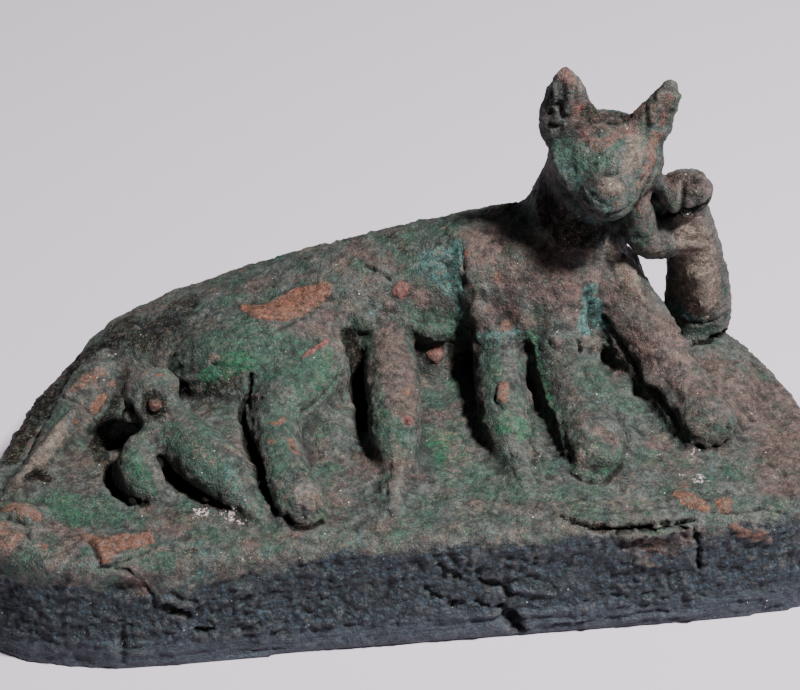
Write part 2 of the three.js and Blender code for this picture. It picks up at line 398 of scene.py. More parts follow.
CRUSTS = marks(
    Mark.CRUST,
    ("flank crust", ((246, 307, 0.9), (262, 311, 1.5), (281, 308, 2.3), (298, 301, 2.2), (312, 295, 1.8),
     (323, 289, 1.3)), 0.28, 0.35, Tint.ORANGE),
    ("streak on the thigh", ((302, 357, 0.35), (314, 350, 0.5), (327, 340, 0.4)), 0.16, 0.2, Tint.RED, 0.8),
    ("oval disc on the right suckling", ((504, 386, 0.8), (503, 397, 0.85)), 0.35, 0.2, Tint.ORANGE, 0.85,
     0.08),
    ("copper on the rim", ((68, 393, 0.6), (84, 381, 1.2), (99, 371, 1)), 0.2, 0.25, Tint.ORANGE, 0.6),
    ("copper chip", ((93, 411, 0.6), (100, 402, 0.75), (105, 396, 0.5)), 0.3, 0.2, Tint.ORANGE),
    ("small copper", ((77, 423, 0.55),), 0.2, 0.2, Tint.ORANGE, 0.9),
    ("tiny copper", ((113, 383, 0.4),), 0.15, 0.2, Tint.ORANGE, 0.8),
    ("front left crust", ((84, 536, 0.6), (100, 541, 1.2), (118, 543, 1.6), (136, 540, 1.2),
     (148, 538, 0.9)), 0.32, 0.25, Tint.ORANGE, 0.8),
    ("front left crust's leg", ((106, 550, 1.3), (103, 560, 0.8)), 0.3, 0.25, Tint.ORANGE),
    ("left corner crust", ((6, 506, 1), (22, 508, 1.4), (36, 516, 1)), 0.25, 0.3, Tint.ORANGE, 0.64, 0.4),
    ("left corner crust below", ((4, 526, 1.3), (14, 538, 1.2), (4, 550, 1.2)), 0.25, 0.4, Tint.ORANGE,
     0.62),
    ("right front orange", ((680, 494, 0.9), (692, 500, 1.3), (706, 508, 0.8)), 0.2, 0.3, Tint.ORANGE,
     0.75),
    ("sliver at the thigh", ((251, 397, 0.25), (265, 396, 0.25)), 0.2, 0.2, Tint.ORANGE, 0.6),
    ("ledge over the hollow", ((584, 341, 1), (600, 346, 1)), 0.35, 0.25, Tint.TAN, 0.55),
    ("orange crust far right", ((735, 528, 0.8), (752, 534, 1.2), (768, 540, 0.9)), 0.25, 0.4, Tint.ORANGE,
     0.62, 0.6),
)

DIRTY_CRUSTS = soot_and_shade_marks(
    Mark.CRUST,
    ("crusty band at the right", ((612, 531, 0.8), (640, 540, 1.2), (672, 545, 1.6)), 0.3, 0.5, 0.6),
)

CRACKS = marks(
    Mark.CRACK,
    ("flank crust's lower crack", ((256, 319, 0.2), (268, 326, 0.25), (280, 328, 0.25), (292, 322, 0.25),
     (306, 317, 0.2)), 0.35),
    ("crack right of the flank", ((364, 265, 0.15), (372, 268, 0.25), (380, 271, 0.25), (389, 280, 0.2)),
     0.5),
    ("crack over the tail", ((61, 397, 0.2), (72, 399, 0.22), (82, 403, 0.25), (90, 412, 0.25),
     (98, 421, 0.3)), 0.6),
    ("groove left of the tail", ((53, 410, 0.3), (43, 425, 0.35), (33, 443, 0.35), (20, 466, 0.4)), 0.4),
    ("crack under the front left crust", ((88, 541, 0.2), (95, 549, 0.3), (99, 560, 0.35), (99, 568, 0.4)),
     0.7),
    ("second crack under it", ((104, 566, 0.35), (120, 560, 0.3), (136, 555, 0.25), (148, 551, 0.2)), 0.6),
    ("arc crack on the front", ((102, 567, 0.25), (127, 570, 0.25), (143, 582, 0.25), (153, 597, 0.25),
     (156, 607, 0.3)), 0.5),
    ("crack right of the boss", ((712, 512, 0.2), (735, 512, 0.25), (760, 508, 0.2), (785, 514, 0.25)),
     0.5),
    ("crack right of the hind leg", ((346, 374, 0.2), (335, 380, 0.2), (326, 392, 0.25), (314, 405, 0.25),
     (303, 412, 0.2)), 0.3),
    ("toe line of the hind paw", ((300, 498, 0.2), (303, 510, 0.25), (305, 520, 0.25)), 0.3),
    ("moat round the shoulder boss", ((547, 338, 0.2), (550, 347, 0.2), (560, 350, 0.2), (566, 343, 0.2)),
     0.2),
    ("edge of the teal flank", ((464, 252, 0.15), (466, 270, 0.2), (465, 287, 0.18)), 0.3),
    ("inner groove of the right cheek", ((641, 148, 0.15), (644, 160, 0.18), (641, 172, 0.18),
     (636, 181, 0.15)), 0.16),
    ("outer groove of the right cheek", ((648, 148, 0.15), (650, 160, 0.18), (647, 172, 0.18),
     (641, 182, 0.15)), 0.18),
    ("inner toe of the hind paw", ((288, 500, 0.15), (286, 510, 0.2), (287, 520, 0.2)), 0.25),
    ("outer toe of the hind paw", ((312, 494, 0.15), (317, 503, 0.2), (318, 513, 0.2)), 0.25),
    ("pit in the high paw", ((729, 428, 0.35),), 0.5),
    ("heel line of the standing kitten", ((682, 320, 0.25), (696, 324, 0.25), (712, 322, 0.25),
     (724, 314, 0.25)), 0.3),
    ("first line on the muzzle", ((586, 188, 0.15), (594, 196, 0.2), (604, 202, 0.15)), 0.2),
    ("second line on the muzzle", ((580, 194, 0.15), (590, 203, 0.2), (602, 208, 0.15)), 0.2),
    ("third line on the muzzle", ((622, 192, 0.15), (617, 201, 0.2), (608, 207, 0.15)), 0.2),
    ("slanting crack on the foot", ((553, 625, 0.2), (604, 619, 0.25), (655, 613, 0.2)), 0.3),
    ("pit above the foot", ((658, 612, 0.35), (668, 613, 0.35)), 0.4),
)

# cracks darkened with the sooty tint, some of them painted shadows
SOOTED_AND_SHADED_CRACKS = soot_and_shade_marks(
    Mark.CRACK,
    ("moat round the oval disc", ((495, 384, 0.25), (494, 400, 0.28), (502, 408, 0.22)), 0.3, 0.6, 0.1),
    ("lip crack on the front edge", ((553, 513, 0.2), (573, 520, 0.5), (591, 527, 0.7), (612, 530, 0.6),
     (628, 528, 0.75), (645, 526, 0.6), (661, 522, 0.65), (676, 523, 0.5), (693, 520, 0.45)), 1.4, 1, 0.4),
    ("second line of the lip crack", ((618, 533, 0.2), (636, 529, 0.3), (650, 532, 0.25), (668, 527, 0.25),
     (688, 528, 0.2)), 0.7, 0.8, 0.4),
    ("upright crack", ((692, 519, 0.35), (695, 533, 0.4), (701, 549, 0.35), (699, 562, 0.3),
     (701, 575, 0.2)), 0.9, 0.8, 0.4),
    ("shadow line left of the hind leg", ((251, 374, 0.35), (250, 392, 0.4), (241, 412, 0.6),
     (247, 440, 0.8), (258, 465, 0.8), (266, 492, 0.7), (276, 512, 0.5)), 1.3, 1, 0.12),
    ("crack below the hind paw", ((284, 518, 0.4), (295, 527, 0.55), (307, 527, 0.55), (321, 521, 0.4)), 1,
     1, 0.12),
    ("crack left of the left suckling's tail", ((391, 466, 0.22), (387, 482, 0.25), (386, 495, 0.22),
     (388, 511, 0.2), (393, 517, 0.2)), 0.22, 0.35),
    ("crack left of the right suckling's tail", ((508, 448, 0.22), (512, 464, 0.22), (516, 480, 0.2),
     (523, 491, 0.2)), 0.2, 0.3),
    ("notch under the pink lump", ((213, 364, 0.3), (220, 366, 0.3)), 0.4, 0.7),
    # crack with painted shadow left of the ledge
    ("painted shadow left of the ledge", ((578, 338, 0.3), (580, 350, 0.35)), 0.6, 0.8),
    # groove with painted shadow along the high foreleg's left side
    ("groove with painted shadow down the high foreleg", ((603, 318, 0.4), (620, 345, 0.5), (640, 378, 0.5), (660, 402, 0.5),
     (678, 428, 0.5)), 0.6, 0.6),
    ("edge under the low paw", ((567, 470, 0.35), (582, 480, 0.4), (604, 481, 0.4), (620, 470, 0.35),
     (625, 455, 0.25)), 0.6, 0.7, 0.15),
    ("edge under the high paw", ((686, 440, 0.3), (703, 449, 0.4), (722, 446, 0.4), (736, 433, 0.3)), 0.5,
     0.5),
    ("gap under the standing kitten", ((680, 334, 0.4), (692, 343, 0.5), (708, 342, 0.5), (724, 331, 0.4)),
     0.8, 0.9),
    ("mouth line", ((581, 204, 0.2), (592, 212, 0.3), (606, 216, 0.35), (620, 212, 0.3), (629, 205, 0.2)),
     0.28, 0.5, 0.35),
    ("split between cheek and kitten", ((654, 168, 0.3), (648, 181, 0.35), (640, 195, 0.4),
     (633, 207, 0.35)), 0.6, 0.8, 0.1),
    ("first pit on the jaw", ((562, 180, 0.3), (568, 188, 0.35)), 0.4, 0.7),
    ("second pit on the jaw", ((572, 192, 0.3), (579, 201, 0.35)), 0.4, 0.7),
    ("groove in the standing kitten's face", ((684, 183, 0.3), (683, 195, 0.45), (682, 206, 0.4)), 0.6, 0.7,
     0.1),
    ("shadow under the kitten's muzzle", ((668, 214, 0.5), (682, 212, 0.7), (698, 209, 0.8),
     (710, 200, 0.5)), 1.3, 1, 0.12),
    ("upright groove at the left", ((124, 628, 0.4), (122, 645, 0.5), (122, 662, 0.5)), 0.4, 0.5),
)

BOSSES = marks(
    Mark.BOSS,
    ("red blister", ((401, 290, 1.15),), 0.5, 0.3, Tint.RED),
    ("blister's neighbour", ((389, 305, 0.8),), 0.35, 0.3, Tint.WARM),
    ("glow on the left suckling", ((407, 390, 0.75),), 0.25, 0.3, Tint.ORANGE, 0.9),
    ("disc in the ringed boss", ((155, 404.5, 1.15),), 0.7, 0.15, Tint.RED, 0.55, 0.05),
    ("nose tip", ((611, 179, 0.8),), 0.1),
)

HOLLOWS = marks(
    Mark.HOLLOW,
    ("moat of the ringed boss", ((155, 404, 2.3),), 0.6, 0.3, Tint.SOOT_AND_SHADE, 0.8, 0.05),
    ("recess under the lip", ((622, 541, 1), (645, 546, 1.6), (670, 545, 1.8), (684, 538, 1.2)), 0.6, 0.5,
     Tint.WARM, 0.75, 0.5),
    ("teal hollow", ((588, 296, 1), (591, 312, 1.3), (593, 326, 1.2)), 0.6),
    ("wrist hollow of the high foreleg", ((668, 384, 0.9), (678, 398, 1)), 0.35),
    ("left ear's top pit", ((551, 77, 0.45), (555, 78, 0.4)), 0.6, 0.3, Tint.SOOT_AND_SHADE, 0.7),
    ("left ear's long pit", ((561, 86, 0.25), (559, 98, 0.3), (561, 110, 0.3), (558, 119, 0.25)), 0.45, 0.3,
     Tint.SOOT_AND_SHADE, 0.8, 0.5),
    ("left ear's small pits", ((551, 90, 0.3), (552, 101, 0.35), (550, 112, 0.3), (566, 92, 0.3)), 0.5, 0.3,
     Tint.SOOT_AND_SHADE, 0.7, 0.6),
    ("left ear's cross pit", ((550, 124, 0.35), (557, 125, 0.35)), 0.5, 0.3, Tint.SOOT_AND_SHADE, 0.7),
    ("left ear's edge pits", ((547, 97, 0.4), (546, 108, 0.4)), 0.35),
    ("valley left of the nose", ((592, 182, 0.8), (594, 172, 0.9)), 0.12),
    ("waist of the standing kitten", ((676, 236, 0.9), (690, 240, 0.9), (704, 240, 0.8)), 0.4),
    ("front cavity at the left", ((160, 604, 0.6), (172, 611, 1.1), (188, 615, 0.8)), 0.8, 0.5, Tint.SOOT_AND_SHADE,
     0.7, 0.6),
    ("hollow behind the far shoulder", ((13, 26, 18, 2.6), (12, 25, 25, 2.4)), 0.9),
    ("hollow before the far hip", ((-12, 26, 17, 2.6), (-13, 25, 23, 2.2)), 0.8),
)

# hollows darkened with the sooty tint, most of them painted shadows
SOOTED_AND_SHADED_HOLLOWS = soot_and_shade_marks(
    Mark.HOLLOW,
    # hollow with painted shadow left of the left suckling
    ("painted shadow left of the left suckling", ((347, 336, 1.2), (350, 352, 1.6), (354, 376, 1.7), (359, 402, 1.6),
     (365, 428, 1.3)), 0.4, 1.2, 0.1),
    # undercut with painted shadow right of the tail tip
    ("painted shadow in the undercut right of the tail tip", ((24, 480, 0.5), (35, 474, 0.8), (48, 479, 0.6)), 0.9, 1, 0.15),
    ("dent between the corner lumps", ((8, 517, 0.6), (26, 523, 0.7), (30, 536, 0.6)), 0.5, 0.5),
    # hollows with painted shadow left of and under the kitten by the tail
    ("painted shadow in the gap left of the kitten's head", ((124, 392, 0.7), (127, 408, 1.1), (136, 426, 1.2), (126, 440, 1.3),
     (110, 446, 0.9)), 1, 1.1, 0.2),
    ("painted shadow in the gap left of the kitten's leg", ((108, 464, 0.6), (107, 478, 0.7), (114, 492, 0.7), (130, 501, 0.6),
     (148, 503, 0.4)), 0.7, 1.1, 0.15),
    ("painted shadow in the gap under the kitten's belly", ((160, 458, 0.6), (172, 474, 1), (188, 489, 1.2), (206, 500, 0.9),
     (228, 510, 0.5)), 1, 1.1, 0.15),
    # shallow hollow with painted shade under the haunch
    ("painted shade under the haunch", ((186, 384, 0.5), (205, 383, 0.7), (228, 380, 0.6), (246, 374, 0.4)), 0.15,
     0.5),
    ("cheek pits", ((556, 175, 0.6), (562, 185, 0.6), (570, 193, 0.5)), 0.5, 0.5),
    ("front cavity below it", ((196, 630, 0.5), (206, 631, 0.7), (215, 629, 0.4)), 0.9, 0.8),
    ("notch in the foot", ((503, 611, 0.6), (513, 620, 1.3), (520, 629, 1.1)), 1.5, 0.9, 0.5),
    ("hole in the front, first", ((440, 564, 0.5), (447, 572, 0.6), (458, 577, 0.7)), 0.6, 0.55, 0.7),
    ("hole in the front, second", ((474, 573, 0.5), (481, 583, 0.8), (494, 586, 0.8), (509, 595, 0.5),
     (522, 596, 0.3)), 0.7, 0.6, 0.7),
    ("hole in the front, third", ((424, 587, 0.5), (433, 596, 0.6), (450, 602, 0.5)), 0.5, 0.5, 0.7),
    ("hole in the front, fourth", ((458, 605, 0.5), (468, 600, 0.4), (480, 604, 0.5), (498, 610, 0.5)), 0.5,
     0.5, 0.7),
)

RINGS = marks(
    Mark.RING,
    ("ring on the left suckling", ((408, 422.5, 0.95),), 0.32, 0.3, Tint.RED, 0.9),
    ("small green ring", ((433, 418, 0.65),), 0.18, 0.3, Tint.GREEN, 0.6),
)

SWELLS = marks(
    Mark.SWELL,
    ("ridge of the tail", ((76, 414, 1.2), (61, 432, 1.7), (45, 452, 1.7), (29, 470, 1.3), (18, 484, 1)),
     1.3),
    ("lip over the crack", ((575, 512, 0.6), (600, 517, 0.8), (630, 517, 0.8), (665, 511, 0.7)), 0.3),
    ("pink lump on the haunch", ((213, 358, 0.9),), 0.3, 0.4, Tint.TAN, 0.6),
    ("brow boss on the shoulder", ((557, 341, 1.1),), 0.5, 0.3, Tint.RED, 0.5),
    ("green ridge down the low foreleg", ((532, 338, 0.6), (539, 370, 0.7), (548, 400, 0.7),
     (560, 421, 0.7), (566, 452, 0.6)), 0.35),
    ("floor of the right ear", ((660, 96, 1), (654, 108, 1.3), (651, 120, 1.1)), 0.5, 0.4, Tint.TAN, 0.6),
    ("floor of the left ear", ((556, 90, 1.2), (556, 105, 1.5), (556, 118, 1.2)), 0.6),
    ("ridge of the chest", ((612, 246, 1.6), (621, 262, 2), (632, 286, 2.2)), 1.3),
    ("fill behind the shoulder", ((462, 236, 3.4), (473, 258, 4.4), (478, 284, 4.2), (478, 304, 2.4)), 1.3),
    ("fill right of the low foreleg", ((592, 365, 1.6), (607, 392, 2.2), (622, 420, 2.2), (632, 440, 1.4)),
     0.9),
    ("fill right of the right suckling", ((528, 395, 1.2), (534, 420, 1.6), (536, 450, 1.8),
     (540, 475, 1.4)), 0.7),
    ("brow over the left eye", ((578, 150, 0.8), (590, 153, 0.8)), 0.25),
    ("left ear's ridges", ((567, 82, 0.5), (569, 96, 0.6), (567, 110, 0.6), (563, 122, 0.5)), 0.4, 0.4,
     None, 1, 0.6),
    ("left cheek", ((557, 150, 2), (561, 170, 2.2), (573, 189, 1.8)), 0.8),
    ("flat of the nose", ((600, 176, 1.8), (610, 190, 2)), 0.4),
    ("belly of the standing kitten", ((700, 276, 2.6), (701, 302, 2.6)), 0.9),
    ("muzzle of the standing kitten", ((697, 192, 1.6),), 0.7),
    ("lip over the front cavity", ((163, 598, 0.7), (178, 601, 0.8), (192, 606, 0.7)), 0.35),
    ("smooth bulge on the front", ((514, 588, 0.8), (533, 590, 1.1), (553, 594, 0.8)), 0.5),
    ("bar under the crusty band", ((624, 561, 0.4), (642, 563, 0.5), (658, 566, 0.4)), 0.35, 0.4, Tint.TAN,
     0.6),
    ("far shoulder", ((22, 24, 19, 4), (22, 23, 27, 3.6)), 1),
    ("far ribs", ((2, 26, 19, 4.2), (-3, 26, 20, 4.2)), 0.5),
    ("far haunch", ((-20, 25, 18, 4.4), (-27, 24, 17, 4)), 1.1),
)

RELIEF = CRUSTS + DIRTY_CRUSTS + CRACKS + SOOTED_AND_SHADED_CRACKS + BOSSES + HOLLOWS + SOOTED_AND_SHADED_HOLLOWS + RINGS + SWELLS

RED_STAINS = stains(
    Tint.RED,
    ("red ball's colour", ((434.6, 354, 1.3),), 0.3),
    ("red smear on the back", ((288, 268, 0.8), (303, 274, 0.9)), 0.7, 0.38),
    ("first red spot on the shoulder", ((494, 258, 0.6), (499, 281, 0.7)), 0.5, 0.5, 0.5),
    ("second red spot on the shoulder", ((560, 262, 0.7), (572, 290, 0.9), (545, 318, 0.7)), 0.8, 0.46,
     0.6),
    ("rose spot below the teal flank", ((468, 288, 0.6), (478, 282, 0.4)), 0.5, 0.45),
    ("rose shoulder", ((528, 285, 1.2), (536, 298, 1.2)), 1.2, 0.36, 0.6),
    ("red edge left of the teal hollow", ((577, 285, 0.5), (574, 300, 0.5), (572, 312, 0.4)), 0.5, 0.5,
     0.4),
    ("rose edge right of the teal hollow", ((604, 286, 0.7), (613, 305, 0.7), (624, 330, 0.8)), 0.6, 0.44,
     0.4),
    ("brow red band", ((584, 131, 1.2), (598, 143, 1.6), (612, 138, 1.3), (630, 131, 1)), 0.8, 0.55),
    ("left ear red tip", ((560, 72, 1.4), (571, 78, 1.4)), 0.9, 0.6),
    ("left ear red root", ((578, 98, 0.8), (576, 110, 0.9), (583, 104, 0.7)), 0.6, 0.6),
    ("right ear red edge", ((631, 118, 0.7), (641, 108, 0.8), (649, 98, 0.7)), 0.6, 0.56),
    ("red stain on the edge", ((55, 565, 0.7), (75, 560, 0.8)), 0.7, 0.34),
)

ORANGE_STAINS = stains(
    Tint.ORANGE,
    ("small orange lump's colour", ((42, 547, 1),), 0.3, 0.6),
    ("right front boss's colour", ((724, 504, 1.5),), 0.4, 0.7),
    ("orange over the ringed boss", ((159, 375, 0.7),), 0.5, 0.6),
    ("orange spot over the teal flank", ((466, 253, 0.55),), 0.4, 0.9),
    ("brown disc behind the shoulder", ((495, 279, 0.9),), 0.5, 0.6),
    ("right suckling, orange brow", ((505, 327, 0.9), (512, 316, 0.6)), 0.5, 0.66),
    ("right suckling, orange nose", ((508, 324, 1),), 0.4, 0.66),
    ("chest orange", ((626, 268, 1), (634, 290, 1.2)), 1, 0.5, 0.5),
    ("right cheek orange", ((657, 136, 1.2), (653, 153, 1.4), (647, 172, 1.1), (640, 186, 0.8)), 0.8, 0.64),
    ("muzzle corner orange", ((619, 200, 0.5), (615, 210, 0.5)), 0.4, 0.62),
    ("forearm orange of the standing kitten", ((642, 220, 0.7), (638, 205, 0.4)), 0.5, 0.56),
    ("right ear orange", ((669, 96, 0.6), (667, 108, 0.7), (662, 122, 0.8)), 0.6, 0.6, 0.5),
    ("standing kitten, warm edge", ((708, 215, 0.6), (716, 240, 0.6), (726, 275, 0.6)), 0.7, 0.5, 0.5),
    ("orange bit by the standing kitten", ((728, 322, 0.9),), 0.5, 0.66),
    ("copper spots on the hind leg", ((276, 424, 0.7), (284, 419, 0.6)), 0.5, 0.72),
    ("copper spot lower down", ((269, 441, 0.7),), 0.5, 0.72),
    ("copper spot by the shin", ((291, 440, 0.8), (296, 452, 0.9)), 0.6, 0.7),
    ("orange toes", ((318, 498, 0.6),), 0.5, 0.56),
)

GREEN_STAINS = stains(
    Tint.GREEN,
    ("green thigh", ((215, 345, 3.2), (262, 350, 4), (318, 372, 4)), 1.6, 0.95),
    ("green hind leg", ((300, 395, 3), (275, 430, 2.4), (280, 470, 1.8)), 1.2, 0.75),
    ("green left of the flank crust", ((232, 285, 1.6), (245, 275, 1.6)), 1.2, 0.7),
    ("green ground at the left", ((55, 500, 2.4), (80, 512, 3), (100, 505, 2.2)), 1.2),
    ("green under the crust", ((88, 552, 0.9),), 0.5),
    ("green below the front left crust", ((130, 558, 1), (165, 562, 1.6)), 0.9, 0.8),
    ("green tail root", ((60, 408, 1.6), (50, 430, 1.2)), 1, 0.75),
    ("kitten by the tail, green leg", ((126, 455, 1.6), (138, 472, 1.6), (145, 488, 1.3)), 1),
    ("kitten by the tail, green back", ((172, 432, 1.8), (198, 456, 2.4), (226, 486, 2.2)), 1.2, 0.9),
    ("green teat roll", ((425, 322, 2), (450, 326, 2.4)), 1),
    ("left suckling, green head side", ((362, 325, 1.4), (366, 345, 1)), 0.8, 0.85),
    ("left suckling, green rump", ((380, 425, 1.6), (388, 448, 1.4)), 0.9, 0.8),
    ("green ground between the sucklings", ((425, 430, 2), (448, 445, 3.4), (455, 475, 2.8),
     (500, 465, 2.2)), 1.6, 0.75),
    ("right suckling, green body", ((488, 350, 1.6), (494, 380, 1.8), (498, 410, 1.8)), 1.2, 0.8),
    ("right suckling, green chest", ((490, 405, 1.6), (520, 400, 1.8)), 1, 0.7),
    ("low foreleg, green ground", ((590, 375, 2.6), (615, 395, 2.6), (640, 410, 1.6)), 1.4, 0.85),
    ("chest green", ((618, 235, 0.9), (620, 248, 0.8)), 0.7, 0.9),
    ("face green", ((562, 150, 1.8), (580, 165, 2.2), (600, 160, 1.4)), 1.2),
    ("face green at the brow", ((612, 146, 1), (622, 142, 1)), 0.8, 0.85),
    ("right ear green", ((655, 92, 1), (652, 110, 1.3), (645, 125, 1)), 0.8, 0.9),
    ("forearm green of the standing kitten", ((630, 200, 0.9), (634, 215, 0.8)), 0.7, 0.9),
    ("green under the standing kitten", ((700, 346, 0.5), (720, 340, 0.5)), 0.5),
    ("green front ground", ((560, 495, 2.4), (600, 490, 2.2)), 1.6, 0.6),
    ("green run on the front", ((139, 630, 0.45), (140, 655, 0.45)), 0.4, 0.7),
    ("green under the lip", ((645, 530, 0.8), (668, 532, 0.8)), 0.6, 0.9),
)

VIVID_STAINS = stains(
    Tint.VIVID,
    ("bright edge of the haunch", ((203, 377, 0.8), (222, 370, 1.6), (240, 362, 1.4), (250, 364, 0.9)), 0.8,
     1.2),
    ("bright inner thigh", ((330, 350, 0.9), (322, 372, 1), (316, 388, 0.9)), 0.9, 0.6),
    ("vivid ground at the left", ((62, 505, 1.4), (84, 518, 1.6)), 1, 0.62),
    ("kitten by the tail, vivid leg", ((132, 462, 0.8), (144, 474, 0.9), (156, 494, 0.8)), 0.9, 0.62),
    ("vivid ground between the sucklings", ((425, 448, 1), (446, 436, 1.2), (440, 460, 1.2)), 1, 0.6),
    ("right suckling, green rump", ((500, 425, 1.6), (522, 428, 1.8)), 1, 0.72),
    ("low foreleg, green edge", ((531, 335, 0.8), (540, 372, 1), (552, 408, 0.9)), 0.7, 0.68),
    ("low paw, green front", ((572, 468, 0.6), (592, 475, 0.7), (612, 470, 0.6)), 0.6, 0.7),
    ("green right of the hind paw", ((326, 516, 0.9),), 0.6, 0.6),
    ("green speck on the front, first", ((110, 582, 0.55), (116, 578, 0.5)), 0.4, 0.9),
    ("green speck on the front, second", ((33, 595, 0.6),), 0.4, 0.55),
    ("green speck on the front, third", ((210, 619, 0.55),), 0.4, 0.7),
)

# tan stains, some of which are painted light
TAN_AND_LIGHT_STAINS = stains(
    Tint.TAN,
    ("tan tail", ((62, 430, 1.2), (45, 452, 1.4), (28, 471, 1), (17, 485, 0.8)), 0.8, 0.75),
    ("kitten by the tail, tan back", ((196, 447, 0.9), (212, 462, 1.1)), 1, 0.42),
    # tan tint that also paints light onto the flank where the head's shadow falls
    ("tan and painted light behind the shoulder", ((480, 240, 2.4), (492, 268, 2.6), (497, 290, 2)), 2.4, 0.3, 0.8),
    ("tan on the back", ((330, 262, 1.6), (360, 285, 2.4), (350, 310, 2)), 1.6, 0.4, 0.8),
    # painted light on the teal flank, which faces away from the key light
    ("painted light on the teal flank", ((430, 258, 2), (446, 266, 2.2), (450, 284, 1.6)), 1.4, 0.4, 0.8),
    ("left suckling, tan tail", ((398, 470, 1), (396, 500, 1)), 0.8, 0.45),
    ("pink flat lump", ((373, 474, 1.8),), 0.8, 0.42),
    ("pale ground between the sucklings", ((440, 432, 1.8), (460, 450, 2.2), (452, 475, 1.8)), 1.4, 0.45,
     0.6),
    ("chest tan", ((612, 246, 1.2), (622, 262, 1.6), (634, 288, 1.8)), 1, 0.75, 0.5),
    # painted highlight on the lit right cheek
    ("right cheek, painted highlight", ((636, 138, 1.3), (634, 155, 1.5), (628, 170, 1.2)), 1, 0.72),
    ("muzzle tan", ((604, 184, 1.4), (617, 188, 1.4)), 0.8, 0.68),
    # painted light on the standing kitten's body, whose upright front gets little key light
    ("standing kitten, painted light on the body", ((690, 225, 2.4), (698, 265, 3.4), (702, 300, 3.4)), 1.2, 0.95),
    ("tan toes", ((303, 497, 1.5), (316, 503, 1.4)), 0.7, 0.6),
    ("tan ground below the kitten", ((200, 518, 1.4), (240, 526, 1.4), (270, 540, 1)), 1.2, 0.36),
    ("tan edge of the front", ((455, 512, 1.2), (520, 508, 1.6), (640, 502, 1.8), (680, 505, 1.2)), 1.2,
     0.4),
)

# dark stains, most of which are painted shade and painted shadow
SOOT_AND_SHADE_STAINS = stains(
    Tint.SOOT_AND_SHADE,
    # painted shadow along the left of the tail and the rump
    ("soot left of the tail", ((120, 338, 1.2), (80, 358, 1.6), (45, 398, 1.8), (28, 428, 1.8),
     (10, 460, 1.6)), 1, 0.95, 0.5),
    # painted shade on the shaded flank of the kitten by the tail
    ("kitten by the tail, painted shade on the flank", ((150, 436, 1), (165, 455, 0.9)), 0.8, 0.5),
    # painted shadow on the ground left of the kitten by the tail
    ("painted shadow left of the kitten", ((117, 398, 0.7), (106, 424, 1.2), (98, 446, 1.3), (102, 462, 0.8)), 0.7, 1,
     0.3),
    # painted shade under the haunch's overhang
    ("soot band over the triangle", ((184, 388, 1.3), (208, 391, 1.4), (236, 382, 1)), 0.7, 0.72),
    ("brown triangle by the kitten", ((200, 405, 1.4), (225, 408, 2.2), (240, 418, 1.4)), 0.9, 0.42),
    # dark patina on the rump, and painted shade where it faces away from the light
    ("rump soot", ((20, 410, 2.2), (60, 360, 3.2), (120, 332, 4), (160, 335, 3.6), (185, 305, 3)), 2.4,
     0.72, 0.8),
    ("dark below the ridge", ((255, 264, 1.2), (285, 262, 1.2), (320, 255, 1.2)), 0.9, 0.5),
    # painted shadow of the head on the neck
    ("soot under the jaw", ((541, 180, 1.2), (547, 208, 2.2), (568, 232, 2.4), (598, 236, 1.8)), 1.2, 1.1),
    ("right suckling, dark side", ((478, 360, 0.8), (482, 395, 0.9)), 0.9, 0.5),
    # painted shade that darkens the up-facing forehead
    ("forehead soot", ((590, 112, 1.6), (606, 120, 2.2), (624, 115, 1.6)), 1, 0.74),
    ("standing kitten, dark head", ((672, 178, 1.2), (688, 176, 1.4), (700, 192, 1.4)), 1, 0.7),
)

TEAL_STAINS = stains(
    Tint.TEAL,
    ("kitten by the tail, teal hip", ((228, 472, 1.2), (238, 492, 1.4), (246, 506, 1)), 0.9, 0.56),
    ("teal flank", ((432, 262, 2.2), (446, 266, 2.6), (454, 252, 1.8), (452, 285, 1.8)), 1.6, 1.05, 0.6),
    ("bright edge of the teal flank", ((455, 254, 0.8), (460, 272, 0.6)), 0.8, 0.8),
    ("right suckling, teal chin", ((482, 338, 1), (505, 337, 1.2), (515, 333, 0.8)), 0.7, 0.72),
    ("teal hollow's colour", ((590, 291, 1.1), (590, 308, 1.7), (585, 328, 1.2), (604, 322, 1)), 0.6, 1.15,
     0.5),
    ("muzzle teal", ((586, 192, 1.3), (598, 202, 1.6), (616, 205, 1.4)), 0.8, 0.55),
    ("left face teal", ((556, 158, 1.2), (566, 176, 1.5), (580, 190, 1.4)), 1, 0.52),
    ("chin teal", ((588, 219, 0.9), (604, 222, 1), (620, 218, 0.8)), 0.6, 0.62),
    ("standing kitten, grey body", ((688, 262, 2.2), (694, 290, 2.8), (692, 312, 2)), 1.2, 0.8, 0.5),
)

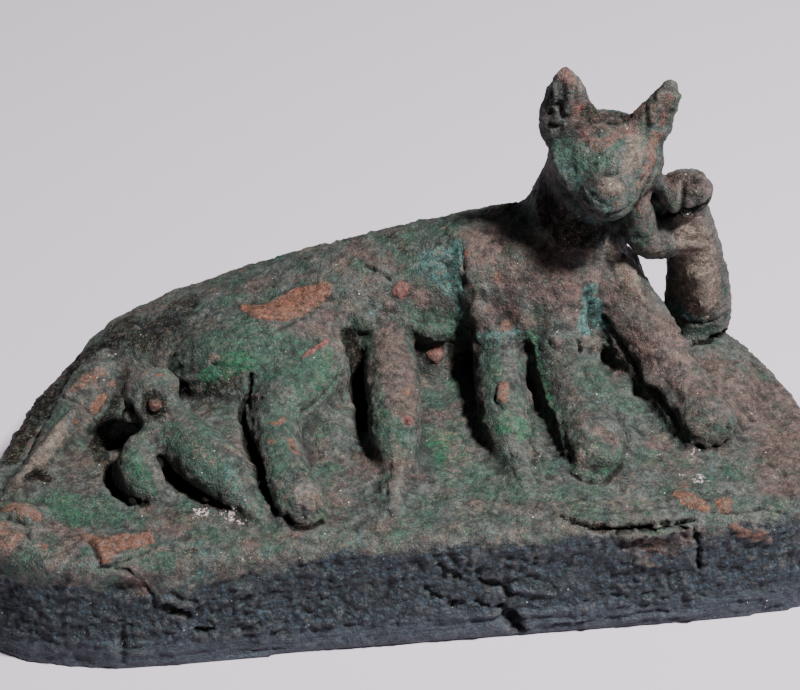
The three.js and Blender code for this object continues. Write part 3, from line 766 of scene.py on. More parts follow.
WARM_STAINS = stains(
    Tint.WARM,
    ("rump ridge warm", ((150, 312, 0.7), (185, 300, 0.7), (235, 265, 0.9), (300, 240, 1)), 0.9, 0.8),
    ("warm smear on the back", ((355, 253, 1.1), (375, 262, 0.9), (398, 268, 1)), 0.8, 0.9),
    ("halo of the red blister", ((412, 287, 1.3), (425, 300, 1.2)), 0.8, 0.9),
    ("left suckling, warm body", ((390, 335, 2.2), (398, 370, 2.6), (404, 405, 2.2)), 1.2),
    ("right suckling, red brown head", ((492, 312, 1.4), (512, 312, 1.4), (524, 322, 1)), 0.9),
    ("low paw, orange top", ((600, 430, 1.2), (614, 440, 1)), 0.9),
    ("warm shoulder", ((480, 240, 4), (520, 265, 5), (560, 270, 5), (640, 330, 5), (700, 370, 6),
     (760, 400, 7)), 4, 0.95),
    ("warm right ground", ((760, 360, 3), (785, 420, 4), (780, 480, 4)), 3, 0.95),
    ("forehead warm", ((586, 116, 2), (608, 118, 2.8), (632, 122, 2)), 1, 1.1),
    ("standing kitten, brown head", ((674, 180, 1.6), (690, 180, 2), (708, 184, 1.6)), 1),
    ("warm front ground", ((230, 545, 1.5), (290, 535, 1.2), (330, 520, 1.2)), 1.2, 0.7),
)

CRYSTAL_STAINS = stains(
    Tint.CRYSTAL,
    ("left suckling, pink snout", ((407, 338, 0.8), (402, 330, 0.7)), 0.6, 0.35),
    ("crystals in the teal hollow", ((582, 306, 0.8), (588, 318, 0.9)), 0.6, 0.75),
    ("crystals under the kitten", ((203, 511, 1.6),), 0.9, 1, 0.7),
    ("more crystals there", ((223, 514, 1.3), (240, 519, 1.3)), 0.9, 0.98, 0.7),
    ("faint crystals below the high paw", ((692, 452, 1), (695, 462, 1.1)), 0.8, 0.88, 0.6),
    ("crystals below the high paw", ((688, 476, 1.1), (701, 480, 1.4)), 0.9, 0.98, 0.7),
)

STAINS = (
    RED_STAINS + ORANGE_STAINS + GREEN_STAINS + VIVID_STAINS + TAN_AND_LIGHT_STAINS + SOOT_AND_SHADE_STAINS + TEAL_STAINS +
    WARM_STAINS + CRYSTAL_STAINS
)


@dataclass
class Sight:
    """Finds where a dot of the photograph lies on the solid."""

    viewpoint: Viewpoint
    tree: BVHTree

    def hit(self, across: float, down: float) -> tuple[Vector, Vector] | None:
        """The place and the facing of the surface under a pixel.

        Args:
            across: Pixels from the photograph's left edge.
            down: Pixels from its top edge.

        Returns:
            The point and its normal, or None where the pixel misses the solid.
        """
        point, normal, _, _ = self.tree.ray_cast(self.viewpoint.eye, self.viewpoint.ray(across, down))
        return None if point is None else (point, normal)

    def trace(self, stroke: Stroke) -> tuple[np.ndarray, np.ndarray]:
        """The stroke's dots as points in space with their radii, without those that miss."""
        points, radii = [], []
        for dot in stroke.dots:
            if len(dot) == 4:
                points.append(self.tree.find_nearest(Vector(dot[:3]))[0])
            else:
                found = self.hit(dot[0], dot[1])
                if found is None:
                    LOG.warning("%s: the dot at %s, %s misses", stroke.name, dot[0], dot[1])
                    continue
                points.append(found[0])
            radii.append(dot[-1])
        return np.array([tuple(point) for point in points]), np.array(radii)


@dataclass
class Surface:
    """The casting's surface as arrays, on which strokes are laid.

    The spans say where in a stroke its rise begins and ends. They are shares of a crust's edge, and
    otherwise of the stroke's radius.
    """

    points: np.ndarray
    sight: Sight
    outline: Roughness = Roughness(1.4, 71, 4)
    crust_span: Span = (-0.2, 0.8)
    hollow_span: Span = (-0.1, 0.9)
    crack_lip: float = 0.12
    crack_share: float = 0.8
    ring_crest: float = 0.8
    ring_width: float = 0.22
    ring_pit: float = 0.8
    ring_pit_width: float = 0.45
    outline_noise: np.ndarray = field(init=False)

    def __post_init__(self) -> None:
        """Works out the noise that makes the strokes' outlines ragged."""
        self.outline_noise = self.outline.at(self.points)

    def near(self, stroke: Stroke, margin: float) -> tuple[np.ndarray, np.ndarray]:
        """How far the surface's points are from a stroke's outline.

        Args:
            stroke: The mark, whose own raggedness is put on the distance.
            margin: How far outside the stroke points still count.

        Returns:
            The indices of the points near it, and their distances, which are negative inside.
        """
        dots, radii = self.sight.trace(stroke)
        if not len(dots):
            return np.zeros(0, int), np.zeros(0)
        reach = radii.max() + margin + stroke.ragged
        low, high = dots.min(0) - reach, dots.max(0) + reach
        index = np.flatnonzero(((self.points > low) & (self.points < high)).all(axis=1))
        place = self.points[index]
        away = np.linalg.norm(place - dots[0], axis=1) - radii[0]
        for start, end, first, last in zip(dots, dots[1:], radii, radii[1:]):
            along = end - start
            share = np.clip(((place - start) @ along) / max(along @ along, 1e-9), 0.0, 1.0)
            gap = np.linalg.norm(place - start - share[:, None] * along, axis=1)
            away = np.minimum(away, gap - (first + share * (last - first)))
        away = away + self.outline_noise[index] * stroke.ragged
        keep = away < margin
        return index[keep], away[keep]

    def relief(self, stroke: Stroke) -> tuple[np.ndarray, np.ndarray]:
        """The height that a stroke adds to the points near it.

        Args:
            stroke: The mark.

        Returns:
            The indices of the points, and their heights.
        """
        index, away = self.near(stroke, stroke.edge)
        radius = max(dot[-1] for dot in stroke.dots)
        depth = np.clip(-away / radius, 0.0, 1.0)
        shapes = {
            Mark.SWELL: lambda: ease(depth, 0.0, 1.0),
            Mark.BOSS: lambda: np.sqrt(1.0 - (1.0 - depth) ** 2),
            Mark.CRUST: lambda: ease(-away, *(share * stroke.edge for share in self.crust_span)),
            Mark.RING: lambda: self.ring(np.clip((away + radius) / radius, 0.0, 2.0)),
            Mark.CRACK: lambda: -ease(-away, -self.crack_lip, self.crack_share * radius),
            Mark.HOLLOW: lambda: -ease(depth, *self.hollow_span),
        }
        return index, stroke.height * shapes[stroke.mark]()

    def ring(self, middle: np.ndarray) -> np.ndarray:
        """The height of a raised ring round a pit, where 0 is its middle and 1 its outline."""
        crest = np.exp(-(((middle - self.ring_crest) / self.ring_width) ** 2))
        return crest - self.ring_pit * np.exp(-((middle / self.ring_pit_width) ** 2))

    def tint(self, stroke: Stroke) -> tuple[np.ndarray, np.ndarray]:
        """How much of its tint a stroke puts on the points near it, from 0 to 1."""
        index, away = self.near(stroke, 2.0 * stroke.edge)
        return index, stroke.strength * ease(-away, -stroke.edge, stroke.edge)


@dataclass(frozen=True)
class Crust:
    """The corrosion's own relief, from coarse to fine.

    Each height holds everywhere. A second number is added in patches or on the plinth's side, and crags
    are the part of that side above the foot.
    """

    waves: Roughness = Roughness(8.0, 11, 1)
    wave_height: float = 0.26
    bulges: Roughness = Roughness(3.0, 21, 2)
    bulge_height: float = 0.18
    bulge_on_side: float = 0.06
    rough: Roughness = Roughness(1.1, 31, 2)
    rough_height: float = 0.11
    rough_in_patches: float = 0.08
    rough_on_crags: float = 0.08
    crumb_size: float = 0.9
    crumb_seed: int = 41
    crumb_height: float = 0.08
    crumb_in_patches: float = 0.10
    crumb_on_crags: float = 0.14
    knob_size: float = 1.7
    knob_seed: int = 47
    knob_height: float = 0.10
    knob_in_patches: float = 0.38
    nodule_top: float = 0.55
    nodule_gap: float = 0.3
    gap_limit: float = 0.5
    patches: Roughness = Roughness(5.0, 45, 1)
    patch_span: Span = (-0.4, 0.5)
    ground_calm: float = 0.5
    ground_span: Span = (18.4, 16.8)
    streaks: Roughness = Roughness(1.3, 61, 2)
    streak_height: float = 0.28
    streak_squeeze: float = 0.09
    streak_span: Span = (FOOT_BAND + 1.6, FOOT_BAND - 1.4)
    foot_span: Span = (FOOT_BAND, FOOT_BAND - 2.0)

    def height(self, points: np.ndarray, side: np.ndarray) -> np.ndarray:
        """How far the crust stands out.

        Args:
            points: Where it is wanted, one row each.
            side: 1 on the plinth's side, 0 elsewhere.

        Returns:
            One height for each point.
        """
        level = points[:, 2]
        crags = side * (1 - ease(level, *self.foot_span))
        patchy = ease(self.patches.at(points), *self.patch_span)
        calm = 1.0 - self.ground_calm * ease(level, *self.ground_span) * (1 - side)
        total = self.waves.at(points) * self.wave_height * calm
        total += self.bulges.at(points) * (self.bulge_height + self.bulge_on_side * side) * calm
        rough_height = self.rough_height + self.rough_in_patches * patchy + self.rough_on_crags * crags
        total += self.rough.at(points) * rough_height
        crumb_height = self.crumb_height + self.crumb_in_patches * patchy + self.crumb_on_crags * crags
        total += self.nodules(points, self.crumb_size, self.crumb_seed) * crumb_height
        knob_height = self.knob_height + self.knob_in_patches * patchy
        total += self.nodules(points, self.knob_size, self.knob_seed) * crags * knob_height
        return total + self.level_lines(points) * side

    def nodules(self, points: np.ndarray, size: float, seed: int) -> np.ndarray:
        """The height of rounded crumbs of crust that touch each other, with gaps between."""
        near, second = Grain.pebbles(points, size, seed)
        return self.nodule_top - near + self.nodule_gap * np.minimum(second - near, self.gap_limit)

    def level_lines(self, points: np.ndarray) -> np.ndarray:
        """The height of the level lines and ledges round the plinth's foot."""
        squeezed = points * np.array([self.streak_squeeze, self.streak_squeeze, 1.0])
        return self.streaks.at(squeezed) * self.streak_height * ease(points[:, 2], *self.streak_span)


@dataclass(frozen=True)
class Spread:
    """Where a tint lies of itself: a base amount, how far noise swings it, and that noise."""

    tint: Tint
    base: float
    swing: float
    noise: Roughness


@dataclass(frozen=True)
class Patch:
    """Large patches of a tint on the sides that the photograph doesn't show."""

    tint: Tint
    share: float
    noise: Roughness


PATCHES = (
    Patch(Tint.GREEN, 0.9, Roughness(9.0, 81)),
    Patch(Tint.ORANGE, 0.7, Roughness(6.0, 83)),
    Patch(Tint.WARM, 0.8, Roughness(8.0, 85)),
    Patch(Tint.TEAL, 0.6, Roughness(10.0, 87)),
    Patch(Tint.SOOT_AND_SHADE, 0.6, Roughness(7.0, 89)),
)

SPREADS = (
    Spread(Tint.GREEN, 0.42, 0.60, Roughness(5.0, 91)),
    Spread(Tint.WARM, 0.36, 0.55, Roughness(6.0, 93)),
    Spread(Tint.ORANGE, 0.05, 0.36, Roughness(2.5, 95)),
    Spread(Tint.TAN, 0.15, 0.46, Roughness(3.6, 97)),
    Spread(Tint.SOOT_AND_SHADE, 0.10, 0.52, Roughness(4.0, 99)),
    Spread(Tint.TEAL, 0.12, 0.42, Roughness(5.0, 101)),
)


@dataclass
class Casting:
    """The cat, her kittens and the plinth, cast in one piece.

    A span is where something begins and ends. Those of the foot, the seat and the overhang are places
    along an axis, and the others are amounts of a noise or of how far the surface faces the camera.
    """

    viewpoint: Viewpoint
    crust: Crust = Crust()
    weld_gap: float = 0.002
    egg_rounds: int = 3
    voxel: float = 0.5
    smoothing_rounds: int = 14
    smoothing_shares: Span = (0.6, -0.58)
    smoothed_span: Span = (0.3, 1.6)
    seat_span: Span = (0.05, 1.2)
    triangle_limit: int = 194000
    rim_noise: Roughness = Roughness(2.6, 5, 4)
    rim_swing: float = 0.9
    rim_fade: float = 1.9
    overhang: float = 2.4
    overhang_across: Span = (-8.0, -28.0)
    overhang_forward: Span = (0.0, -16.0)
    lobe_noise: Roughness = Roughness(9.0, 7, 1)
    lobe_drop: float = 0.8
    lobe_span: Span = (0.1, 0.5)
    unseen_span: Span = (0.05, -0.35)
    patch_span: Span = (0.15, 0.75)
    side_spread: float = 0.6
    placed_spread: float = 0.55
    bared_noise: Roughness = Roughness(4.0, 103)
    bared_span: Span = (0.15, 0.7)
    bared_levels: Span = (FOOT_BAND, FOOT_BAND + 4.0)
    bared_share: float = 0.45
    charcoal_placed: float = 0.75
    cavity_rounds: int = 2
    cavity_depth: float = 0.12
    dust_levels: Span = (1.1, 0.1)
    haze_levels: Span = (6.0, 2.0)
    haze_share: float = 0.55
    piece: bpy.types.Object | None = None

    def block_out(self) -> None:
        """Copies the CAD node's solid, stands the lumps on it and fuses everything into one skin."""
        shape = bmesh.new()
        shape.from_mesh(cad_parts[CAD_NODE].data)
        bmesh.ops.remove_doubles(shape, verts=shape.verts, dist=self.weld_gap * MM)
        shape.transform(Matrix.Scale(1 / MM, 4))
        sight = Sight(self.viewpoint, BVHTree.FromBMesh(shape))
        for lump in LUMPS:
            found = sight.hit(*lump.place)
            if found is None:
                LOG.warning("%s misses the solid", lump.name)
                continue
            point, normal = found
            place = Matrix.Translation(point - normal * lump.sink)
            turn = Matrix.Rotation(math.radians(lump.turn_deg), 4, "Z")
            egg = place @ turn @ Matrix.Diagonal((*lump.half, 1))
            bmesh.ops.create_icosphere(shape, subdivisions=self.egg_rounds, radius=1.0, matrix=egg)
        mesh = bpy.data.meshes.new(PIECE_NAME)
        shape.to_mesh(mesh)
        shape.free()
        self.piece = bpy.data.objects.new(PIECE_NAME, mesh)
        bpy.context.scene.collection.objects.link(self.piece)
        remesh = self.piece.modifiers.new("fuse", "REMESH")
        remesh.mode = "VOXEL"
        remesh.voxel_size = self.voxel
        self.apply_modifiers()

    def apply_modifiers(self) -> None:
        """Makes what the modifiers show the piece's own mesh."""
        bpy.context.view_layer.update()
        graph = bpy.context.evaluated_depsgraph_get()
        made = bpy.data.meshes.new_from_object(self.piece.evaluated_get(graph))
        before = self.piece.data
        self.piece.modifiers.clear()
        self.piece.data = made
        bpy.data.meshes.remove(before)
        made.name = PIECE_NAME

    def read(self, what: str) -> np.ndarray:
        """The vertices' places (co) or normals (normal), one row each."""
        mesh = self.piece.data
        values = np.zeros(len(mesh.vertices) * 3)
        mesh.vertices.foreach_get(what, values)
        return values.reshape(-1, 3)

    def write(self, points: np.ndarray) -> None:
        """Puts the vertices at new places."""
        self.piece.data.vertices.foreach_set("co", points.ravel())
        self.piece.data.update()

    def edges(self) -> np.ndarray:
        """The two vertices of each edge, one row each."""
        pairs = np.zeros(len(self.piece.data.edges) * 2, np.int64)
        self.piece.data.edges.foreach_get("vertices", pairs)
        return pairs.reshape(-1, 2)

    @staticmethod
    def neighbour_mean(values: np.ndarray, pairs: np.ndarray) -> np.ndarray:
        """The mean of each vertex's neighbours.

        Args:
            values: One row for each vertex.
            pairs: The two vertices of each edge.

        Returns:
            One row for each vertex.
        """
        ends = np.concatenate([pairs[:, 0], pairs[:, 1]])
        others = np.concatenate([pairs[:, 1], pairs[:, 0]])
        count = np.bincount(ends, minlength=len(values))
        sums = [np.bincount(ends, column[others], minlength=len(values)) for column in values.T]
        return np.stack(sums, 1) / np.maximum(count, 1)[:, None]

    def settle(self) -> None:
        """Softens the facets and creases of the solid without shrinking its limbs."""
        points, pairs = self.read("co"), self.edges()
        give = ease(points[:, 2], *self.smoothed_span)[:, None]
        for _ in range(self.smoothing_rounds):
            for share in self.smoothing_shares:
                points = points + share * give * (self.neighbour_mean(points, pairs) - points)
        self.write(points)
        subdivision = self.piece.modifiers.new("refine", "SUBSURF")
        subdivision.levels = 1
        subdivision.render_levels = 1
        self.apply_modifiers()

    def side_share(self, points: np.ndarray) -> np.ndarray:
        """1 on the plinth's side, 0 on top and on the animals."""
        across, forward, level = points.T
        drop = RIM_HEIGHT - level + self.rim_noise.at(points) * self.rim_swing
        corner = ease(across, *self.overhang_across) * ease(forward, *self.overhang_forward)
        spared = self.overhang * corner + self.lobe_drop * ease(self.lobe_noise.at(points), *self.lobe_span)
        return ease(drop - spared, 0.0, self.rim_fade)

    def raise_relief(self) -> None:
        """Moves the surface out and in by the crust's own relief and by the strokes."""
        points, normals = self.read("co"), self.read("normal")
        surface = Surface(points, Sight(self.viewpoint, self.tree()))
        height = self.crust.height(points, self.side_share(points))
        for stroke in RELIEF:
            index, rise = surface.relief(stroke)
            height[index] += rise
        height *= ease(points[:, 2], *self.seat_span)
        points = points + normals * height[:, None]
        points[:, 2] = np.maximum(points[:, 2], 0.0)
        self.write(points)

    def tree(self) -> BVHTree:
        """The piece's faces, ready to be hit by rays."""
        mesh = self.piece.data
        return BVHTree.FromPolygons([v.co for v in mesh.vertices], [p.vertices for p in mesh.polygons])

    def thin(self) -> None:
        """Takes triangles away where the surface is plain, down to the limit."""
        count = self.triangle_count()
        decimate = self.piece.modifiers.new("thin", "DECIMATE")
        decimate.ratio = self.triangle_limit / count
        self.apply_modifiers()
        LOG.info("%s thinned from %d to %d triangles", PIECE_NAME, count, self.triangle_count())

    def triangle_count(self) -> int:
        """How many triangles the piece's faces make."""
        return sum(len(face.vertices) - 2 for face in self.piece.data.polygons)

    def lay_patina(self) -> None:
        """Stores each tint's amount, the cavities and the foot's dust as attributes for the finish."""
        points, normals = self.read("co"), self.read("normal")
        amounts = self.placed_tints(points)
        strongest = np.maximum.reduce([amounts[tint] for tint in Tint if tint != Tint.CRYSTAL])
        placed = np.minimum(strongest, 1.0)
        top = 1.0 - self.side_share(points)
        unseen = ease(normals @ np.array(self.viewpoint.back), *self.unseen_span)
        for patch in PATCHES:
            amount = ease(patch.noise.at(points), *self.patch_span) * patch.share * unseen
            amounts[patch.tint] = np.maximum(amounts[patch.tint], amount)
        for spread in SPREADS:
            amount = spread.base + spread.swing * spread.noise.at(points)
            amount *= self.side_spread + (1.0 - self.side_spread) * top
            amount *= 1.0 - self.placed_spread * placed
            amounts[spread.tint] = np.clip(np.maximum(amounts[spread.tint], amount), 0.0, 1.0)
        bared = ease(self.bared_noise.at(points), *self.bared_span) * ease(points[:, 2], *self.bared_levels)
        charcoal = (1.0 - top) * (1.0 - self.charcoal_placed * placed)
        amounts[Tint.CHARCOAL] = charcoal * (1.0 - self.bared_share * bared)
        for tint, amount in amounts.items():
            self.store(tint.value, amount)
        self.store("cavity", self.cavities(points, normals))
        haze = self.haze_share * ease(points[:, 2], *self.haze_levels)
        self.store("foot", np.maximum(ease(points[:, 2], *self.dust_levels), haze))

    def placed_tints(self, points: np.ndarray) -> dict[Tint, np.ndarray]:
        """How much of each tint the strokes put on each point."""
        surface = Surface(points, Sight(self.viewpoint, self.tree()))
        amounts = {tint: np.zeros(len(points)) for tint in Tint}
        for stroke in RELIEF + STAINS:
            if stroke.tint:
                index, amount = surface.tint(stroke)
                amounts[stroke.tint][index] = np.maximum(amounts[stroke.tint][index], amount)
        return amounts

    def cavities(self, points: np.ndarray, normals: np.ndarray) -> np.ndarray:
        """How hollow the surface is at each point, from 0 on a ridge to 1 in a pit."""
        pairs = self.edges()
        bend = ((self.neighbour_mean(points, pairs) - points) * normals).sum(axis=1)[:, None]
        for _ in range(self.cavity_rounds):
            bend = 0.5 * bend + 0.5 * self.neighbour_mean(bend, pairs)
        return np.clip(0.5 + bend[:, 0] / self.cavity_depth, 0.0, 1.0)

    def store(self, name: str, values: np.ndarray) -> None:
        """Keeps one number for each vertex under a name."""
        attribute = self.piece.data.attributes.new(name, "FLOAT", "POINT")
        attribute.data.foreach_set("value", values.astype(np.float32))

    def build(self, finish: "BronzeFinish") -> bpy.types.Object:
        """Makes the piece, dresses it and sets it in the frame.

        Args:
            finish: The patinated bronze.

        Returns:
            The finished piece.
        """
        self.block_out()
        self.settle()
        self.raise_relief()
        self.thin()
        self.lay_patina()
        mesh = self.piece.data
        mesh.transform(Matrix.Scale(MM, 4))
        mesh.polygons.foreach_set("use_smooth", np.ones(len(mesh.polygons), bool))
        mesh.materials.clear()
        mesh.materials.append(finish.build())
        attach(self.piece, BODY)
        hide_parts(CAD_NODE)
        return self.piece


SHIFT_DIRECTION = (1.0, 1.7, -0.9)
NOISE_MIDDLE = 0.5


@dataclass(frozen=True)
class Pattern:
    """One noise of the finish.

    Detail is how many finer waves lie on it, shift moves it so that two alike don't match, rough is how
    strong the finer waves are, and a squeeze below 1 draws the waves out into level lines.
    """

    size: float
    detail: float
    shift: float
    rough: float = 0.65
    squeeze: float = 1.0


@dataclass
class NodeBench:
    """Makes the nodes of one material and joins them."""

    tree: bpy.types.NodeTree
    place: bpy.types.NodeSocket = field(init=False)

    def __post_init__(self) -> None:
        """Adds the object coordinates that every pattern reads."""
        self.place = self.tree.nodes.new("ShaderNodeTexCoord").outputs["Object"]

    def fill(self, socket: bpy.types.NodeSocket, value: object) -> None:
        """Links a socket to another, or sets its value."""
        if isinstance(value, bpy.types.NodeSocket):
            self.tree.links.new(value, socket)
        else:
            socket.default_value = value

    def math(self, operation: str, *values: object, clamp: bool = False) -> bpy.types.NodeSocket:
        """One sum.

        Args:
            operation: Blender's name for it, such as MULTIPLY.
            *values: Sockets or numbers.
            clamp: Whether the result is kept from 0 to 1.

        Returns:
            The result.
        """
        node = self.tree.nodes.new("ShaderNodeMath")
        node.operation = operation
        node.use_clamp = clamp
        for socket, value in zip(node.inputs, values):
            self.fill(socket, value)
        return node.outputs[0]

    def attribute(self, name: str) -> bpy.types.NodeSocket:
        """A number stored on the mesh."""
        node = self.tree.nodes.new("ShaderNodeAttribute")
        node.attribute_name = name
        return node.outputs["Fac"]

    def noise(self, pattern: Pattern) -> bpy.types.NodeSocket:
        """A pattern's noise, from 0 to 1."""
        mapping = self.tree.nodes.new("ShaderNodeMapping")
        self.fill(mapping.inputs["Vector"], self.place)
        mapping.inputs["Location"].default_value = [pattern.shift * part for part in SHIFT_DIRECTION]
        mapping.inputs["Scale"].default_value = (pattern.squeeze, pattern.squeeze, 1.0)
        node = self.tree.nodes.new("ShaderNodeTexNoise")
        self.fill(node.inputs["Vector"], mapping.outputs[0])
        node.inputs["Scale"].default_value = 1 / (pattern.size * MM)
        node.inputs["Detail"].default_value = pattern.detail
        node.inputs["Roughness"].default_value = pattern.rough
        return node.outputs["Fac"]

    def cells(self, size: float) -> bpy.types.Node:
        """Cells of a size, which know how far each place is from the middle of its own."""
        node = self.tree.nodes.new("ShaderNodeTexVoronoi")
        self.fill(node.inputs["Vector"], self.place)
        node.inputs["Scale"].default_value = 1 / (size * MM)
        return node

    def shape(self, value: object, span: Span, result: Span = (0.0, 1.0)) -> bpy.types.NodeSocket:
        """Turns one span of a value into another, smoothly, and holds it outside.

        Args:
            value: A socket.
            span: What the value runs from and to. It may fall.
            result: What comes out at its two ends.

        Returns:
            The shaped value.
        """
        node = self.tree.nodes.new("ShaderNodeMapRange")
        node.interpolation_type = "SMOOTHSTEP"
        for name, number in zip(("From Min", "From Max", "To Min", "To Max"), (*span, *result)):
            node.inputs[name].default_value = number
        self.fill(node.inputs["Value"], value)
        return node.outputs[0]

    def blend(self, share: object, first: object, second: object, how: str = "MIX") -> bpy.types.NodeSocket:
        """Two colours in one.

        Args:
            share: How much of the second there is.
            first: A colour.
            second: Another.
            how: Blender's name for the way they mix.

        Returns:
            The colour.
        """
        node = self.tree.nodes.new("ShaderNodeMix")
        node.data_type = "RGBA"
        node.blend_type = how
        self.fill(node.inputs[0], share)
        self.fill(node.inputs[6], first)
        self.fill(node.inputs[7], second)
        return node.outputs[2]


@dataclass(frozen=True)
class PatinaLayer:
    """One layer of patina, whose place comes from its tint's amount and its own noise.

    The cover is the amounts at which it begins and is full. Breakup is how strongly the noise tears it,
    grain is the noise's size, lift is how far it stands up, and dulling is how much gloss it takes away.
    """

    tint: Tint
    light: Colour
    dark: Colour
    cover: Span
    breakup: float
    grain: float
    lift: float = 0.0
    dulling: float = 0.0


@dataclass(frozen=True)
class Fleck:
    """Small irregular flecks of one colour, scattered in swarms."""

    colour: Colour
    size: float
    swarm: float
    amount: float
    shift: float


@dataclass(frozen=True)
class Grains:
    """What parts of the finish share: two grains, and how far a place is from its crumb's middle."""

    coarse: bpy.types.NodeSocket
    fine: bpy.types.NodeSocket
    crumbs: bpy.types.NodeSocket


@dataclass(frozen=True)
class BronzeFinish:
    """Bronze under brown, green and orange corrosion, with pale specks.

    Each span is the part of a noise or a distance that makes something come in, from none to all of it.
    """

    bare_light: Colour = (70, 75, 72)
    bare_dark: Colour = (32, 36, 35)
    layers: tuple[PatinaLayer, ...] = (
        PatinaLayer(Tint.WARM, (90, 71, 66), (43, 35, 33), (0.20, 0.90), 1.2, 2.2),
        PatinaLayer(Tint.GREEN, (45, 73, 59), (22, 41, 35), (0.20, 0.90), 1.2, 2.4),
        PatinaLayer(Tint.VIVID, (32, 92, 60), (13, 50, 36), (0.25, 0.85), 1.3, 1.2),
        PatinaLayer(Tint.TEAL, (72, 114, 108), (24, 54, 52), (0.30, 0.95), 1.6, 0.9),
        # tan is dust in places and painted light where strokes brighten lit surfaces
        PatinaLayer(Tint.TAN, (118, 103, 91), (72, 62, 55), (0.25, 0.85), 1.5, 0.9),
        # the sooty layer is dirt in places and painted shade and painted shadow in others, its dulling
        # taking the gloss off both
        PatinaLayer(Tint.SOOT_AND_SHADE, (27, 27, 24), (13, 12, 10), (0.25, 0.90), 1.2, 1.2, dulling=0.34),
        PatinaLayer(Tint.CHARCOAL, (47, 61, 71), (16, 23, 28), (0.25, 0.85), 1.2, 1.3),
        PatinaLayer(Tint.RED, (122, 68, 60), (68, 38, 37), (0.35, 0.75), 0.9, 1.0, lift=0.05),
        PatinaLayer(Tint.ORANGE, (116, 73, 54), (66, 42, 34), (0.36, 0.76), 1.3, 0.8, lift=0.06),
    )
    flecks: tuple[Fleck, ...] = (
        Fleck((104, 70, 62), 0.55, 5.0, 0.30, 0.61),
        Fleck((58, 90, 76), 0.50, 6.0, 0.28, 0.67),
        Fleck((88, 98, 102), 0.34, 4.0, 0.30, 0.73),
        Fleck((128, 118, 104), 0.30, 3.5, 0.28, 0.79),
        Fleck((20, 21, 20), 0.60, 4.5, 0.42, 0.83),
    )
    crystal: Colour = (206, 182, 184)
    speck: Colour = (196, 196, 186)
    cavity_dark: Colour = (16, 15, 12)
    foot_dust: Colour = (66, 71, 80)
    ridge_wear: Colour = (112, 104, 96)
    metallic: float = 0.12
    specular: float = 0.42
    roughness: Span = (0.58, 0.84)
    roughness_span: Span = (0.3, 0.7)
    coarse: Pattern = Pattern(0.55, 4.0, 0.013, 0.7)
    coarse_height: float = 0.30
    fine: Pattern = Pattern(0.2, 2.0, 0.029)
    fine_height: float = 0.16
    mottle: Pattern = Pattern(2.2, 5.0, 0.041)
    mottle_span: Span = (0.35, 0.65)
    crumb_size: float = 0.55
    crumb_height: float = 0.22
    crumb_on_animals: float = 0.3
    lines: Pattern = Pattern(0.45, 3.0, 0.47, 0.6, 0.07)
    line_height: float = 0.30
    line_span: Span = (0.1, 0.5)
    layer_span: Span = (0.32, 0.68)
    layer_shift: Span = (0.05, 0.017)
    layer_detail: float = 4.0
    layer_mottle: float = 0.6
    layer_mottle_rough: float = 0.7
    layer_mottle_shift: Span = (0.31, 0.023)
    shades: tuple[tuple[Pattern, Span], ...] = (
        (Pattern(0.9, 3.0, 0.083, 0.7), (0.66, 1.28)),
        (Pattern(0.15, 3.0, 0.071, 0.7), (0.55, 1.55)),
    )
    pit_span: Span = (0.42, 0.28)
    pit_dark: float = 0.55
    gap_span: Span = (0.45, 0.8)
    gap_dark: float = 0.6
    cavity_span: Span = (0.58, 0.95)
    cavity_full: Span = (0.0, 0.8)
    ridge_span: Span = (0.42, 0.1)
    wear_span: Span = (0.4, 0.62)
    wear_share: float = 0.35
    dust_span: Span = (0.35, 0.6)
    dust_full: Span = (0.3, 1.0)
    clump_grain: float = 1.6
    clump_span: Span = (1.72, 1.95)
    swarm_shift: float = 0.2
    swarm_detail: float = 2.0
    swarm_rough: float = 0.55
    swarm_span: Span = (0.35, 0.65)
    swarm_full: Span = (0.0, 0.10)
    fleck_detail: float = 3.0
    fleck_span: Span = (0.60, 0.72)
    fleck_loss_on_side: float = 0.75
    speck_size: float = 0.85
    speck_chance: float = 0.14
    speck_chance_in_crystals: float = 0.6
    speck_reach: float = 0.03
    speck_reach_swing: float = 0.09

    def build(self) -> bpy.types.Material:
        """The material, whose patterns all read the piece's own coordinates and attributes."""
        material = bpy.data.materials.new(SLOT)
        material.use_nodes = True
        bench = NodeBench(material.node_tree)
        shader = material.node_tree.nodes["Principled BSDF"]
        crumbs = bench.cells(self.crumb_size).outputs["Distance"]
        grains = Grains(bench.noise(self.coarse), bench.noise(self.fine), crumbs)
        bare = bench.shape(bench.noise(self.mottle), self.mottle_span)
        colour = bench.blend(bare, linear(self.bare_dark), linear(self.bare_light))
        height = self.crust(bench, grains)
        gloss = self.specular
        for order, layer in enumerate(self.layers):
            colour, share = self.lay(bench, layer, colour, order)
            if layer.lift:
                height = bench.math("MULTIPLY_ADD", share, layer.lift, height)
            if layer.dulling:
                gloss = bench.math("MULTIPLY_ADD", share, -layer.dulling, gloss)
        bench.fill(shader.inputs["Base Color"], self.grime(bench, colour, grains))
        roughness = bench.shape(grains.coarse, self.roughness_span, self.roughness)
        bench.fill(shader.inputs["Roughness"], roughness)
        shader.inputs["Metallic"].default_value = self.metallic
        bench.fill(shader.inputs["Specular IOR Level"], gloss)
        bump = material.node_tree.nodes.new("ShaderNodeBump")
        bump.inputs["Distance"].default_value = MM
        bench.fill(bump.inputs["Height"], height)
        bench.fill(shader.inputs["Normal"], bump.outputs[0])
        return material

